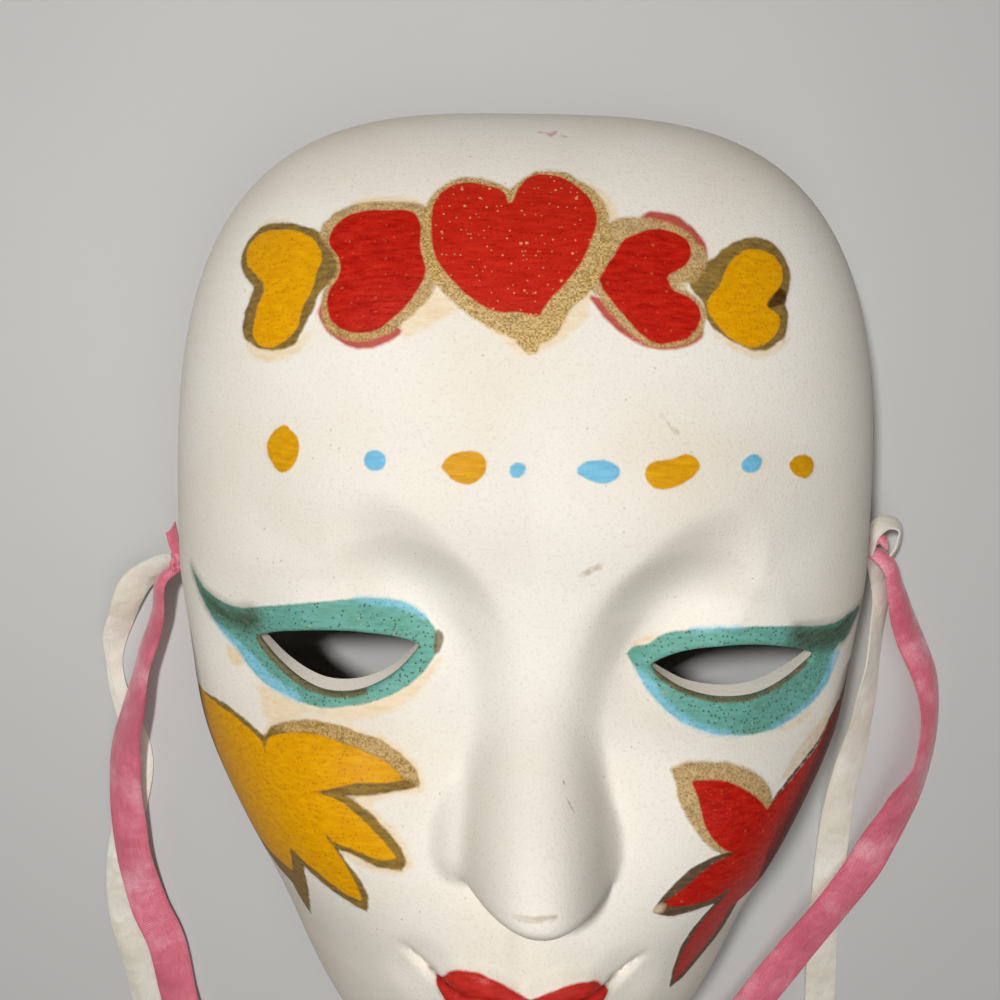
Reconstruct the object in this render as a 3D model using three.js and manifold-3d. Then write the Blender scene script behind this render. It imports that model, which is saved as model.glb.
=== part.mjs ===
// Slip-cast ceramic masquerade mask with two ribbon ties at each temple.
// Millimetres. X runs to the viewer's right, Y from the chin to the forehead, Z out of the face.
// The shell lies on its rim, which is flat at z = 0. Heights along Y count from the eyes' level.
import * as THREE from 'three';
import { mergeVertices } from 'three/addons/utils/BufferGeometryUtils.js';
import Module from 'manifold-3d';

// Outline of the shell
const HALF_WIDTH = 72.5;
const FOREHEAD_EDGE = 102;
const CHIN_EDGE = -117;
const WIDEST_LEVEL = 11.5;
const FOREHEAD_SQUARENESS = 3.2;
const JAW_SQUARENESS = 2.36;
const JAW_TAPER = 0.41;
const JAW_TAPER_POWER = 1.36;
const CHEEK_FULLNESS = 0.022;

// Depth of the shell, and its wall
const DOME_DEPTH = 55.5;
const DOME_SQUARENESS = 2.55;
const WALL = 3.8;

// Place of the face on the shell: hand finished, so a little off centre and out of level
const FACE_SHIFT = 0.9;
const FACE_TILT = 0.035;

// Eyes: cut by hand, so each has its own length and lids
const EYE_DISTANCE = 36.7;
const EYE_SHIFT = 1.8;
const EYE_LEVEL = -0.1;
const LEFT_EYE_HALF_LENGTH = 14.6;
const LEFT_UPPER_LID_RISE = 2.8;
const LEFT_LOWER_LID_DROP = 7.6;
const RIGHT_EYE_HALF_LENGTH = 15.7;
const RIGHT_UPPER_LID_RISE = 3.6;
const RIGHT_LOWER_LID_DROP = 5.2;
const EYE_HOLE_TAPER = 0.1;

// Temple holes and the knots in them
const HOLE_RADIUS = 2.5;
const HOLE_HEIGHT = 8;
const LEFT_HOLE_LEVEL = 8;
const RIGHT_HOLE_LEVEL = 14.5;
const KNOT_RADIUS = 3.3;
const KNOT_LENGTH = 4;
const CLEARANCE = 0.3;
const KNOT_STAND_OFF = 1;
const INNER_KNOT_STAND_OFF = 2.4;

// Ribbons
const PINK_WIDTH = 8.5;
const IVORY_WIDTH = 7;
const RIBBON_THICKNESS = 0.9;

// Fineness of the facets
const OUTER_ROWS = 72;
const OUTER_COLUMNS = 40;
const INNER_ROWS = 36;
const INNER_COLUMNS = 22;
const RIBBON_STEPS = 20;

const smooth = THREE.MathUtils.smoothstep;
const clamp = THREE.MathUtils.clamp;

// Larger of two heights, rounded over a blend of size k
function smoothMax(a, b, k) {
  const h = clamp(0.5 + (0.5 * (a - b)) / k, 0, 1);
  return b + (a - b) * h + k * h * (1 - h);
}

// Soft mound of height 1 on an ellipse, turned by an angle
function mound(x, y, [centreX, centreY], [radiusX, radiusY], power = 2, turn = 0) {
  const c = Math.cos(turn);
  const s = Math.sin(turn);
  const u = ((x - centreX) * c + (y - centreY) * s) / radiusX;
  const v = ((y - centreY) * c - (x - centreX) * s) / radiusY;
  return (1 - Math.min(u * u + v * v, 1)) ** power;
}

// Smooth profile through [place, height] knots, flat at its peaks
function profile(place, knots) {
  const last = knots.length - 1;
  const slope = knots.slice(1).map(([p, h], i) => (h - knots[i][1]) / (p - knots[i][0]));
  const tangent = (i) => {
    if (i === 0) return slope[0];
    if (i === last) return slope[last - 1];
    const product = slope[i - 1] * slope[i];
    return product > 0 ? (2 * product) / (slope[i - 1] + slope[i]) : 0;
  };
  let i = 0;
  while (i < last - 1 && place > knots[i + 1][0]) i += 1;
  const [start, low] = knots[i];
  const [end, high] = knots[i + 1];
  const span = end - start;
  const t = clamp((place - start) / span, 0, 1);
  const rise = t * t * (3 - 2 * t);
  return low * (1 - rise) + high * rise
    + span * (tangent(i) * t * (1 - t) ** 2 - tangent(i + 1) * t * t * (1 - t));
}

// Share of the full width that is left at v, from the widest level (0) to the chin (1)
function jawShare(v) {
  const cheek = Math.cos((2 * Math.PI * (v - 0.25)) / 0.53) * smooth(v, 0, 0.3) * (1 - smooth(v, 0.8, 1));
  return 1 - JAW_TAPER * v ** JAW_TAPER_POWER + CHEEK_FULLNESS * cheek;
}

function half(isUpper) {
  return isUpper
    ? { squareness: FOREHEAD_SQUARENESS, reach: FOREHEAD_EDGE - WIDEST_LEVEL, share: () => 1 }
    : { squareness: JAW_SQUARENESS, reach: CHIN_EDGE - WIDEST_LEVEL, share: jawShare };
}

// Level of a place on the shell: 0 at its top, 1 on its rim
function rimLevel(x, y) {
  const { squareness, reach, share } = half(y >= WIDEST_LEVEL);
  const v = (y - WIDEST_LEVEL) / reach;
  return ((Math.abs(x) / (HALF_WIDTH * share(v))) ** squareness + v ** squareness) ** (1 / squareness);
}

// Place on the rim's +X side at a level along Y
function rimPlace(y) {
  const { squareness, reach, share } = half(y >= WIDEST_LEVEL);
  const v = Math.min((y - WIDEST_LEVEL) / reach, 1);
  return [HALF_WIDTH * share(v) * (1 - v ** squareness) ** (1 / squareness), y];
}

// Place on the rim's inner edge, one wall in from the outer edge
function innerRimPlace(level) {
  const [x, y] = rimPlace(level);
  const step = 0.01;
  const outward = new THREE.Vector2(
    rimLevel(x + step, y) - rimLevel(x - step, y),
    rimLevel(x, y + step) - rimLevel(x, y - step),
  ).normalize();
  return [x - WALL * outward.x, y - WALL * outward.y];
}

function dome(level) {
  return DOME_DEPTH * Math.max(1 - level ** DOME_SQUARENESS, 0) ** (1 / DOME_SQUARENESS);
}

// Forehead, brows, eye sockets, lids, cheeks, muzzle and chin
function softFeatures(x, y, side, besideNose) {
  return 2.5 * mound(x, y, [0, 48], [60, 50])
    + 2.6 * mound(side, y, [22, 29], [36, 17], 2, 0.12)
    - 5.5 * mound(besideNose, y, [24, 3], [22, 19], 1.6, 0.5)
    - 5 * mound(besideNose, y, [22, 10], [24, 12], 1.6, 0.95)
    - 4.5 * mound(side, y, [45, -3], [27, 20])
    + 4 * mound(side, y, [36, 1], [20, 13])
    + 7 * mound(side, y, [36, -34], [32, 30])
    + 10.5 * mound(x, y, [0, -60], [44, 36])
    + 17 * mound(x, y, [0, -94], [30, 24]);
}

// Long straight nose, leaning a little to one side: its middle line, its crest above the dome's top,
// its sides and its two wings
const NOSE_MIDDLE = [[-44, 2.6], [-30, 1.6], [-12, 1.6], [10, 3], [30, 3]];
const NOSE_CREST = [[-44, -0.5], [-42, 10.5], [-40, 18.5], [-36.5, 22], [-29, 19.5], [-18, 12], [-8, 5],
  [2, 0], [12, -2], [24, -1.5]];
const NOSE_HALF_WIDTH = [[-42, 10], [-36, 14.4], [-28, 14.4], [-16, 13.6], [-4, 13.4], [8, 15]];
const NOSE_FALL = [[-40, 22], [-34, 21], [-24, 19], [-12, 15.5], [0, 11], [8, 7]];

function noseHeight(besideNose, y) {
  const ridge = DOME_DEPTH + profile(y, NOSE_CREST)
    - profile(y, NOSE_FALL) * (besideNose / profile(y, NOSE_HALF_WIDTH)) ** 2.2;
  return ridge - 60 * smooth(y, 12, 34) - 70 * smooth(-y, 43.5, 49);
}

function wingHeight(side, y) {
  const reach = y > -33 ? 13 : 8;
  const d = ((side - 11.4) / 6.8) ** 2 + ((y + 33) / reach) ** 2;
  return DOME_DEPTH - 7 + (d < 1 ? 12.5 * Math.sqrt(1 - d) : -14 * (Math.sqrt(d) - 1));
}

// Lips between their upper edge, the line where they meet and their lower edge
const UPPER_LIP_EDGE = [[0, -56.9], [3.2, -54.4], [7, -52.8], [11, -53.3], [14, -55], [17, -57.4]];
const LIP_LINE = [[0, -61.2], [4, -60.3], [9, -60], [17, -57.5], [22, -53]];
const LOWER_LIP_EDGE = [[0, -69.5], [5, -69], [10, -66.3], [14, -62], [17, -57.6]];

function lipRelief(x, y, side) {
  const line = profile(side, LIP_LINE);
  const upper = Math.max(profile(side, UPPER_LIP_EDGE) - line, 0.3);
  const lower = Math.max(line - profile(side, LOWER_LIP_EDGE), 0.3);
  const swell = (t) => (t > 0 ? Math.max(1 - ((t - 0.41) / 0.62) ** 2, 0) : 0);
  const within = 1 - smooth(side, 15, 17.6);
  const lips = 2.6 * swell((y - line) / upper) * Math.min(upper / 7.5, 1)
    + 3.6 * swell((line - y) / lower) * Math.min(lower / 8, 1);
  const crease = 1.7 * Math.exp(-(((y - line) / 1.2) ** 2)) * (1 - smooth(side, 18, 24));
  return lips * within - crease
    - 1.2 * mound(side, y, [19, -57.5], [8, 9])
    - 1.1 * mound(x, y, [0, -49], [4.2, 8])
    - 3 * mound(x, y, [0, -75.5], [20, 8]);
}

// Height of the outer surface, 0 outside the rim
function faceHeight(planX, planY) {
  const level = rimLevel(planX, planY);
  if (level >= 1) return 0;
  const x = planX - FACE_SHIFT;
  const y = planY + FACE_TILT * x;
  const side = Math.abs(x);
  const besideNose = Math.abs(x - profile(y, NOSE_MIDDLE));
  const skin = dome(level) + softFeatures(x, y, side, besideNose) * (1 - smooth(level, 0.82, 1));
  const withNose = smoothMax(skin, noseHeight(besideNose, y), 0.8 + 3 * smooth(y, -44, -36));
  return smoothMax(withNose, wingHeight(side, y), 4) + lipRelief(x, y, side);
}

// The inside keeps one wall's distance: the outer surface less a ball of the wall's radius
const BALL = [];
for (const share of [0.4, 0.75, 1]) {
  for (let turn = 0; turn < 12; turn += 1) {
    const angle = (turn * Math.PI) / 6;
    const reach = share * WALL;
    BALL.push([reach * Math.cos(angle), reach * Math.sin(angle), WALL * Math.sqrt(1 - share ** 2)]);
  }
}

function insideHeight(x, y) {
  const around = BALL.map(([dx, dy, drop]) => faceHeight(x + dx, y + dy) - drop);
  return Math.max(Math.min(faceHeight(x, y) - WALL, ...around), 0);
}

// Rows of facets across the face, as [share of the rows, level]: closest at the lips, under the nose
// and at both ends
const ROW_LEVELS = [[0, CHIN_EDGE], [0.02, CHIN_EDGE + 0.5], [0.05, CHIN_EDGE + 3.5], [0.15, -80],
  [0.21, -68], [0.38, -52], [0.42, -46], [0.52, -36], [0.62, -12], [0.74, 12], [0.81, 36],
  [0.95, FOREHEAD_EDGE - 5], [0.985, FOREHEAD_EDGE - 0.5], [1, FOREHEAD_EDGE]];

// Facets along a row, as [share of half the columns, share of the way from the middle to the rim]
const COLUMN_PLACES = [[0, 0], [0.45, 0.33], [0.8, 0.86], [0.95, 0.995], [1, 1]];

// Closed mesh under a height field, on rows that end on an edge at z = 0.
// Below the edge it goes straight down to its foot.
function mountain(rows, columns, edgePlace, height, foot) {
  const across = Array.from({ length: columns + 1 }, (_, column) => {
    const share = (2 * column) / columns - 1;
    return Math.sign(share) * profile(Math.abs(share), COLUMN_PLACES);
  });
  const positions = [];
  for (let row = 0; row <= rows; row += 1) {
    const [reach, y] = edgePlace(profile(row / rows, ROW_LEVELS));
    const isEnd = row === 0 || row === rows;
    positions.push(-reach, y, foot);
    for (const share of across) {
      const x = share * reach;
      positions.push(x, y, isEnd || Math.abs(share) === 1 ? 0 : height(x, y));
    }
    positions.push(reach, y, foot);
  }
  const width = columns + 3;
  const faces = [];
  for (let row = 0; row < rows; row += 1) {
    for (let column = 0; column < width; column += 1) {
      const [a, b] = [column, (column + 1) % width].map((place) => row * width + place);
      faces.push(a, b, b + width, a, b + width, a + width);
    }
  }
  const geometry = new THREE.BufferGeometry();
  geometry.setAttribute('position', new THREE.Float32BufferAttribute(positions, 3));
  geometry.setIndex(faces);
  return geometry;
}

// Opening of one eye, side -1 for the viewer's left
function eyeOpening(side) {
  const x = side * EYE_DISTANCE;
  const centre = [FACE_SHIFT + EYE_SHIFT + x, EYE_LEVEL - FACE_TILT * x];
  return side < 0
    ? { centre, halfLength: LEFT_EYE_HALF_LENGTH, rise: LEFT_UPPER_LID_RISE, drop: LEFT_LOWER_LID_DROP }
    : { centre, halfLength: RIGHT_EYE_HALF_LENGTH, rise: RIGHT_UPPER_LID_RISE, drop: RIGHT_LOWER_LID_DROP };
}

// Almond-shaped cutter for one eye, a little wider in front of the face than behind it
function eyeCutter(side) {
  const { centre: [centreX, centreY], halfLength, rise, drop } = eyeOpening(side);
  const steps = 12;
  const frontHeight = DOME_DEPTH + 10;
  const backHeight = DOME_DEPTH - 40;
  const middle = (frontHeight + backHeight) / 2;
  const outline = (height) => {
    const grow = EYE_HOLE_TAPER * (height - middle);
    const point = (share, lid) => [
      centreX + (halfLength + grow) * share,
      centreY + (lid + Math.sign(lid) * grow) * (1 - Math.abs(share) ** 2.2),
      height,
    ];
    const lower = Array.from({ length: steps }, (_, i) => point((2 * i) / steps - 1, -drop));
    const upper = Array.from({ length: steps }, (_, i) => point(1 - (2 * i) / steps, rise));
    return lower.concat(upper);
  };
  const back = outline(backHeight);
  const front = outline(frontHeight);
  const count = back.length;
  const faces = [];
  for (let i = 0; i < count; i += 1) {
    const next = (i + 1) % count;
    faces.push(i, next, count + next, i, count + next, count + i);
    faces.push(2 * count, next, i, 2 * count + 1, count + i, count + next);
  }
  const centres = [[centreX, centreY, backHeight], [centreX, centreY, frontHeight]];
  const corners = [...back, ...front, ...centres].flat();
  const geometry = new THREE.BufferGeometry();
  geometry.setAttribute('position', new THREE.Float32BufferAttribute(corners, 3));
  geometry.setIndex(faces);
  return geometry;
}

function holeLevel(side) {
  return side < 0 ? LEFT_HOLE_LEVEL : RIGHT_HOLE_LEVEL;
}

// Distance of the shell's outer surface from the middle, where a temple hole leaves it
function wallDistance(side) {
  let [inside, outside] = [0.8 * HALF_WIDTH, 1.1 * HALF_WIDTH];
  for (let i = 0; i < 40; i += 1) {
    const middle = (inside + outside) / 2;
    if (faceHeight(side * middle, holeLevel(side)) > HOLE_HEIGHT) inside = middle;
    else outside = middle;
  }
  return inside;
}

function templeDrill(side) {
  const length = 4 * WALL;
  const drill = new THREE.CylinderGeometry(HOLE_RADIUS, HOLE_RADIUS, length, 16);
  drill.rotateZ(Math.PI / 2);
  drill.translate(side * (wallDistance(side) - WALL / 2), holeLevel(side), HOLE_HEIGHT);
  return drill;
}

const wasm = await Module();
wasm.setup();

// Solid of a closed mesh: like corners are merged, and faces that close up to a line are dropped
function toManifold(geometry) {
  const bare = geometry.clone();
  bare.deleteAttribute('normal');
  bare.deleteAttribute('uv');
  const merged = mergeVertices(bare, 1e-4);
  const faces = [];
  for (let i = 0; i < merged.index.count; i += 3) {
    const face = [0, 1, 2].map((corner) => merged.index.getX(i + corner));
    if (new Set(face).size === 3) faces.push(...face);
  }
  const mesh = new wasm.Mesh({
    numProp: 3,
    vertProperties: new Float32Array(merged.attributes.position.array),
    triVerts: new Uint32Array(faces),
  });
  return new wasm.Manifold(mesh);
}

function toGeometry(solid) {
  const mesh = solid.getMesh();
  const geometry = new THREE.BufferGeometry();
  geometry.setAttribute('position', new THREE.BufferAttribute(mesh.vertProperties, 3));
  geometry.setIndex(new THREE.BufferAttribute(mesh.triVerts, 1));
  geometry.computeVertexNormals();
  return geometry;
}

function shellGeometry() {
  const body = mountain(OUTER_ROWS, OUTER_COLUMNS, rimPlace, faceHeight, 0);
  const hollow = mountain(INNER_ROWS, INNER_COLUMNS, innerRimPlace, insideHeight, -WALL);
  let shell = toManifold(body).subtract(toManifold(hollow));
  for (const side of [-1, 1]) {
    shell = shell.subtract(toManifold(eyeCutter(side)));
    shell = shell.subtract(toManifold(templeDrill(side)));
  }
  return toGeometry(shell);
}

// Knot on both faces of the wall, joined by its neck in the temple hole
function knotGeometry(side) {
  const neck = HOLE_RADIUS - CLEARANCE;
  const gap = KNOT_STAND_OFF;
  const inside = -(WALL + INNER_KNOT_STAND_OFF);
  const outline = [
    [0, inside - KNOT_LENGTH],
    [0.7 * KNOT_RADIUS, inside - 0.95 * KNOT_LENGTH],
    [KNOT_RADIUS, inside - 0.5 * KNOT_LENGTH],
    [0.8 * KNOT_RADIUS, inside],
    [neck, inside],
    [neck, gap],
    [0.8 * KNOT_RADIUS, gap],
    [KNOT_RADIUS, gap + 0.5 * KNOT_LENGTH],
    [0.7 * KNOT_RADIUS, gap + 0.95 * KNOT_LENGTH],
    [0, gap + KNOT_LENGTH],
  ].map(([radius, along]) => new THREE.Vector2(radius, along));
  const knot = new THREE.LatheGeometry(outline, 12);
  knot.rotateZ(-side * (Math.PI / 2));
  return toGeometry(toManifold(knot));
}

// Where a knot's outer half lies: its middle line and its outer end
function knotPlace(side) {
  const wall = wallDistance(side);
  return {
    wall: side * wall,
    middle: side * (wall + KNOT_STAND_OFF + KNOT_LENGTH / 2),
    end: side * (wall + KNOT_STAND_OFF + KNOT_LENGTH + CLEARANCE),
    level: holeLevel(side),
  };
}

// Height of a route at a share of its points, from 0 to 1
function routeHeight(route, share) {
  const place = share * (route.length - 1);
  const i = Math.min(Math.floor(place), route.length - 2);
  return THREE.MathUtils.lerp(route[i][2], route[i + 1][2], place - i);
}

// Flat ribbon along a route, as an eight-sided band: laid out level, then lifted to the route's height
function ribbonGeometry(route, width) {
  const [edge, flat] = [width / 2, RIBBON_THICKNESS / 2];
  const section = [[-flat, 0.9 * edge], [-0.5 * flat, edge], [0.5 * flat, edge], [flat, 0.9 * edge],
    [flat, -0.9 * edge], [0.5 * flat, -edge], [-0.5 * flat, -edge], [-flat, -0.9 * edge]];
  const shape = new THREE.Shape(section.map(([x, y]) => new THREE.Vector2(x, y)));
  const level = route.map(([x, y]) => new THREE.Vector3(x, y, 0));
  const plan = new THREE.CatmullRomCurve3(level, false, 'centripetal');
  const settings = { steps: RIBBON_STEPS, bevelEnabled: false, extrudePath: plan };
  const band = new THREE.ExtrudeGeometry(shape, settings);
  const stations = Array.from({ length: RIBBON_STEPS + 1 }, (_, i) => {
    const share = plan.getUtoTmapping(i / RIBBON_STEPS);
    return { centre: plan.getPoint(share), lift: routeHeight(route, share) };
  });
  const corners = band.attributes.position;
  for (let i = 0; i < corners.count; i += 1) {
    const corner = new THREE.Vector3(corners.getX(i), corners.getY(i), 0);
    const nearest = stations.reduce((best, station) => (
      station.centre.distanceTo(corner) < best.centre.distanceTo(corner) ? station : best));
    corners.setZ(i, corners.getZ(i) + nearest.lift);
  }
  return toGeometry(toManifold(band));
}

// Routes of the four ribbons: from the knot down to the floor, along the face's sides and round the chin.
// The ivory ones lie on the floor, and the pink ones cross over them.
const ON_FLOOR = 0.55;
const ON_RIBBON = 1.8;
const left = knotPlace(-1);
const right = knotPlace(1);

// Level at which a ribbon starts, clear of the knot above it
function belowKnot(knot) {
  return knot.level - KNOT_RADIUS - RIBBON_THICKNESS;
}

// Route from a start at the knot, then by rows of [distance out from the shell's side, y, height]
function routeFrom(knot, start, rows) {
  const side = Math.sign(knot.wall);
  return [start, ...rows.map(([out, y, height]) => [side * (HALF_WIDTH + out), y, height])];
}

const ROUTES = {
  ribbon_pink_left: routeFrom(left, [left.middle - 2.6, belowKnot(left), 8], [
    [7.5, -5, 5.2], [11, -15, 2.8], [13.4, -25, ON_RIBBON], [16, -36, ON_RIBBON], [16.7, -46, ON_RIBBON],
    [16.4, -55, ON_RIBBON], [15.2, -65, ON_RIBBON], [12.6, -75, ON_RIBBON], [8.8, -84, ON_RIBBON],
    [6, -99, ON_RIBBON], [0.5, -116, ON_RIBBON], [-7.5, -131, ON_RIBBON], [-20.5, -143, 1.2],
    [-37.5, -150, ON_FLOOR], [-56.5, -153, ON_FLOOR], [-74.5, -154, ON_FLOOR], [-92.5, -160, ON_FLOOR],
  ]),
  ribbon_ivory_left: routeFrom(left, [left.end - 0.2, left.level - 1, 5.2], [
    [12.2, 2.5, 3.2], [16, -5, 1.2], [18.6, -12, ON_FLOOR], [19, -19, ON_FLOOR], [17.4, -27, ON_FLOOR],
    [15, -35, ON_FLOOR], [14.7, -43, ON_FLOOR], [17, -54, ON_FLOOR], [19, -65, ON_FLOOR],
    [19, -76, ON_FLOOR], [16.8, -87, ON_FLOOR], [14.4, -99, ON_FLOOR], [13.5, -116, ON_FLOOR],
    [9.5, -134, ON_FLOOR], [-0.5, -150, ON_FLOOR], [-15.5, -162, ON_FLOOR], [-33.5, -169, ON_FLOOR],
    [-52.5, -173, ON_FLOOR], [-72.5, -175, ON_FLOOR],
  ]),
  ribbon_pink_right: routeFrom(right, [right.middle + 3.4, belowKnot(right), 8.4], [
    [8.6, 5, 6.8], [11.4, -2, 4.6], [15, -9.5, 3], [18.2, -17, 2.1], [19.4, -26, ON_RIBBON],
    [18.6, -36, ON_RIBBON], [16, -44, ON_RIBBON], [12, -53.5, ON_RIBBON], [7.5, -63, ON_RIBBON],
    [1.5, -72, ON_RIBBON], [-5.5, -82, ON_RIBBON], [-14.5, -95, ON_RIBBON], [-23.5, -109, ON_RIBBON],
    [-28.5, -123, ON_FLOOR], [-24.5, -138, ON_FLOOR], [-13.5, -149, ON_FLOOR], [-6.5, -163, ON_FLOOR],
    [-10.5, -179, ON_FLOOR], [-24.5, -188, ON_FLOOR],
  ]),
  ribbon_ivory_right: routeFrom(right, [right.middle + 1.6, belowKnot(right), 5], [
    [6.8, 3, 2.6], [6.7, -5, 1.1], [6.3, -14, ON_FLOOR], [5.4, -24, ON_FLOOR], [3.9, -34, ON_FLOOR],
    [1.9, -45, ON_FLOOR], [1, -56, ON_FLOOR], [0.4, -68, ON_FLOOR], [0, -82, ON_FLOOR],
    [0.4, -97, ON_FLOOR], [1.4, -112, ON_FLOOR], [5.5, -127, ON_FLOOR], [13.5, -140, ON_FLOOR],
    [17.5, -155, ON_FLOOR], [14.5, -171, ON_FLOOR], [9.5, -187, ON_FLOOR],
  ]),
};

const bisque = new THREE.MeshStandardMaterial({ color: 0xe9e4d8, roughness: 0.62, metalness: 0 });
const pinkSatin = new THREE.MeshStandardMaterial({ color: 0xd9718c, roughness: 0.42, metalness: 0 });
const ivorySatin = new THREE.MeshStandardMaterial({ color: 0xd8d4c4, roughness: 0.42, metalness: 0 });

function namedMesh(name, geometry, material) {
  const mesh = new THREE.Mesh(geometry, material);
  mesh.name = name;
  return mesh;
}

function knotMesh(name, side) {
  const mesh = namedMesh(name, knotGeometry(side), pinkSatin);
  mesh.position.set(knotPlace(side).wall, holeLevel(side), HOLE_HEIGHT);
  return mesh;
}

const mask = new THREE.Group();
mask.add(namedMesh('mask', shellGeometry(), bisque));
mask.add(knotMesh('knot_left', -1));
mask.add(knotMesh('knot_right', 1));
for (const [name, route] of Object.entries(ROUTES)) {
  const isPink = name.includes('pink');
  const geometry = ribbonGeometry(route, isPink ? PINK_WIDTH : IVORY_WIDTH);
  mask.add(namedMesh(name, geometry, isPink ? pinkSatin : ivorySatin));
}

// The origin is on the floor, at the middle of the rim's length and width
mask.position.y = -(FOREHEAD_EDGE + CHIN_EDGE) / 2;

export default mask;
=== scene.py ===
"""Looks of a slip-cast ceramic masquerade mask, painted by hand, with satin ribbon ties at its temples."""
import math

import bpy
import numpy as np
from mathutils import Matrix, Vector
from mathutils.geometry import delaunay_2d_cdt
from mathutils.kdtree import KDTree


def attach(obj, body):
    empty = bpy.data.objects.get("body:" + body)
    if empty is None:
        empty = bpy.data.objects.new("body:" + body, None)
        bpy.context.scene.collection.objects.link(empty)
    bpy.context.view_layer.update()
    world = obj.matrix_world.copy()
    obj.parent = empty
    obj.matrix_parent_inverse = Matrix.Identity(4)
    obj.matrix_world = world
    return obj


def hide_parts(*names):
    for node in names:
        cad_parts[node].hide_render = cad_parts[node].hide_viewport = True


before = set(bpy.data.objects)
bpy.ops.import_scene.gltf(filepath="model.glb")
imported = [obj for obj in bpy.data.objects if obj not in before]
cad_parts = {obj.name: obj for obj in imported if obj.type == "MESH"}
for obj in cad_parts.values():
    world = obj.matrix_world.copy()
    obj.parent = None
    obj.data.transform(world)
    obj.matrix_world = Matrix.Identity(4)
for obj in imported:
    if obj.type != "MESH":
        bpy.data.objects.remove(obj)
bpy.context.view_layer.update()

# Lengths are in millimetres in the face's own frame: X to the viewer's right, Y from the chin to the
# forehead with 0 at the eyes' level, Z out of the face with 0 at the rim. The row's frame is in metres
# and has its origin at the middle of the rim's length.
MM = 0.001
ROW_SHIFT = 7.5
SHARP_ANGLE = math.radians(55)
CURVE_STEPS = 12


def to_row(points):
    """Points of the face's frame, in metres in the row's frame."""
    return (np.asarray(points, float) + [0, ROW_SHIFT, 0]) * MM


# Camera of the photograph: held over the forehead, looking down at the face
CAMERA_PLACE = (-4.0, 57.9, 240.8)
CAMERA_PITCH = math.radians(8.62)
CAMERA_ROLL = math.radians(0.99)
CAMERA_YAW = math.radians(0.22)
CAMERA_LENS = 39.6
SENSOR_WIDTH = 36


def in_scene(name, data):
    """An object of the scene that holds this data."""
    thing = bpy.data.objects.new(name, data)
    bpy.context.scene.collection.objects.link(thing)
    return thing


def make_camera():
    data = bpy.data.cameras.new("camera")
    data.sensor_width = SENSOR_WIDTH
    data.lens = CAMERA_LENS
    data.clip_start = 0.01
    camera = in_scene("camera", data)
    turn = (Matrix.Rotation(CAMERA_YAW, 4, "Y") @ Matrix.Rotation(-CAMERA_PITCH, 4, "X")
            @ Matrix.Rotation(CAMERA_ROLL, 4, "Z"))
    camera.matrix_world = Matrix.Translation(to_row(CAMERA_PLACE)) @ turn
    bpy.context.scene.camera = camera


make_camera()


# The solid's half width and wall
HALF_WIDTH = 72.5
WALL = 3.8


def smooth(value, low, high):
    """0 below the first value, 1 above the second one, eased between them."""
    t = np.clip((value - low) / (high - low), 0, 1)
    return t * t * (3 - 2 * t)


def lengths_along(line):
    """Length of the line up to each of its points."""
    return np.concatenate([[0], np.cumsum(np.linalg.norm(np.diff(line, axis=0), axis=1))])


def unit(rows):
    """Each row at length 1."""
    return rows / np.maximum(np.linalg.norm(rows, axis=1), 1e-6)[:, None]


def around(count):
    """Angles evenly all the way round."""
    return np.linspace(0, 2 * math.pi, count, endpoint=False)


def evenly(line, at):
    """Points of the line at these lengths along it."""
    return np.column_stack([np.interp(at, lengths_along(line), column) for column in line.T])


def halved(low, high, rounds, past):
    """The numbers between which a test turns true, found by halving from a low and a high one."""
    for _ in range(rounds):
        middle = (low + high) / 2
        far = past(middle)
        low, high = np.where(far, low, middle), np.where(far, middle, high)
    return low, high


def linear(red, green, blue):
    """A colour as it looks, from 0 to 255, in the shader's values."""
    shares = np.array([red, green, blue]) / 255
    values = np.where(shares < 0.04045, shares / 12.92, ((shares + 0.055) / 1.055) ** 2.4)
    return (*values.tolist(), 1.0)


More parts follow.
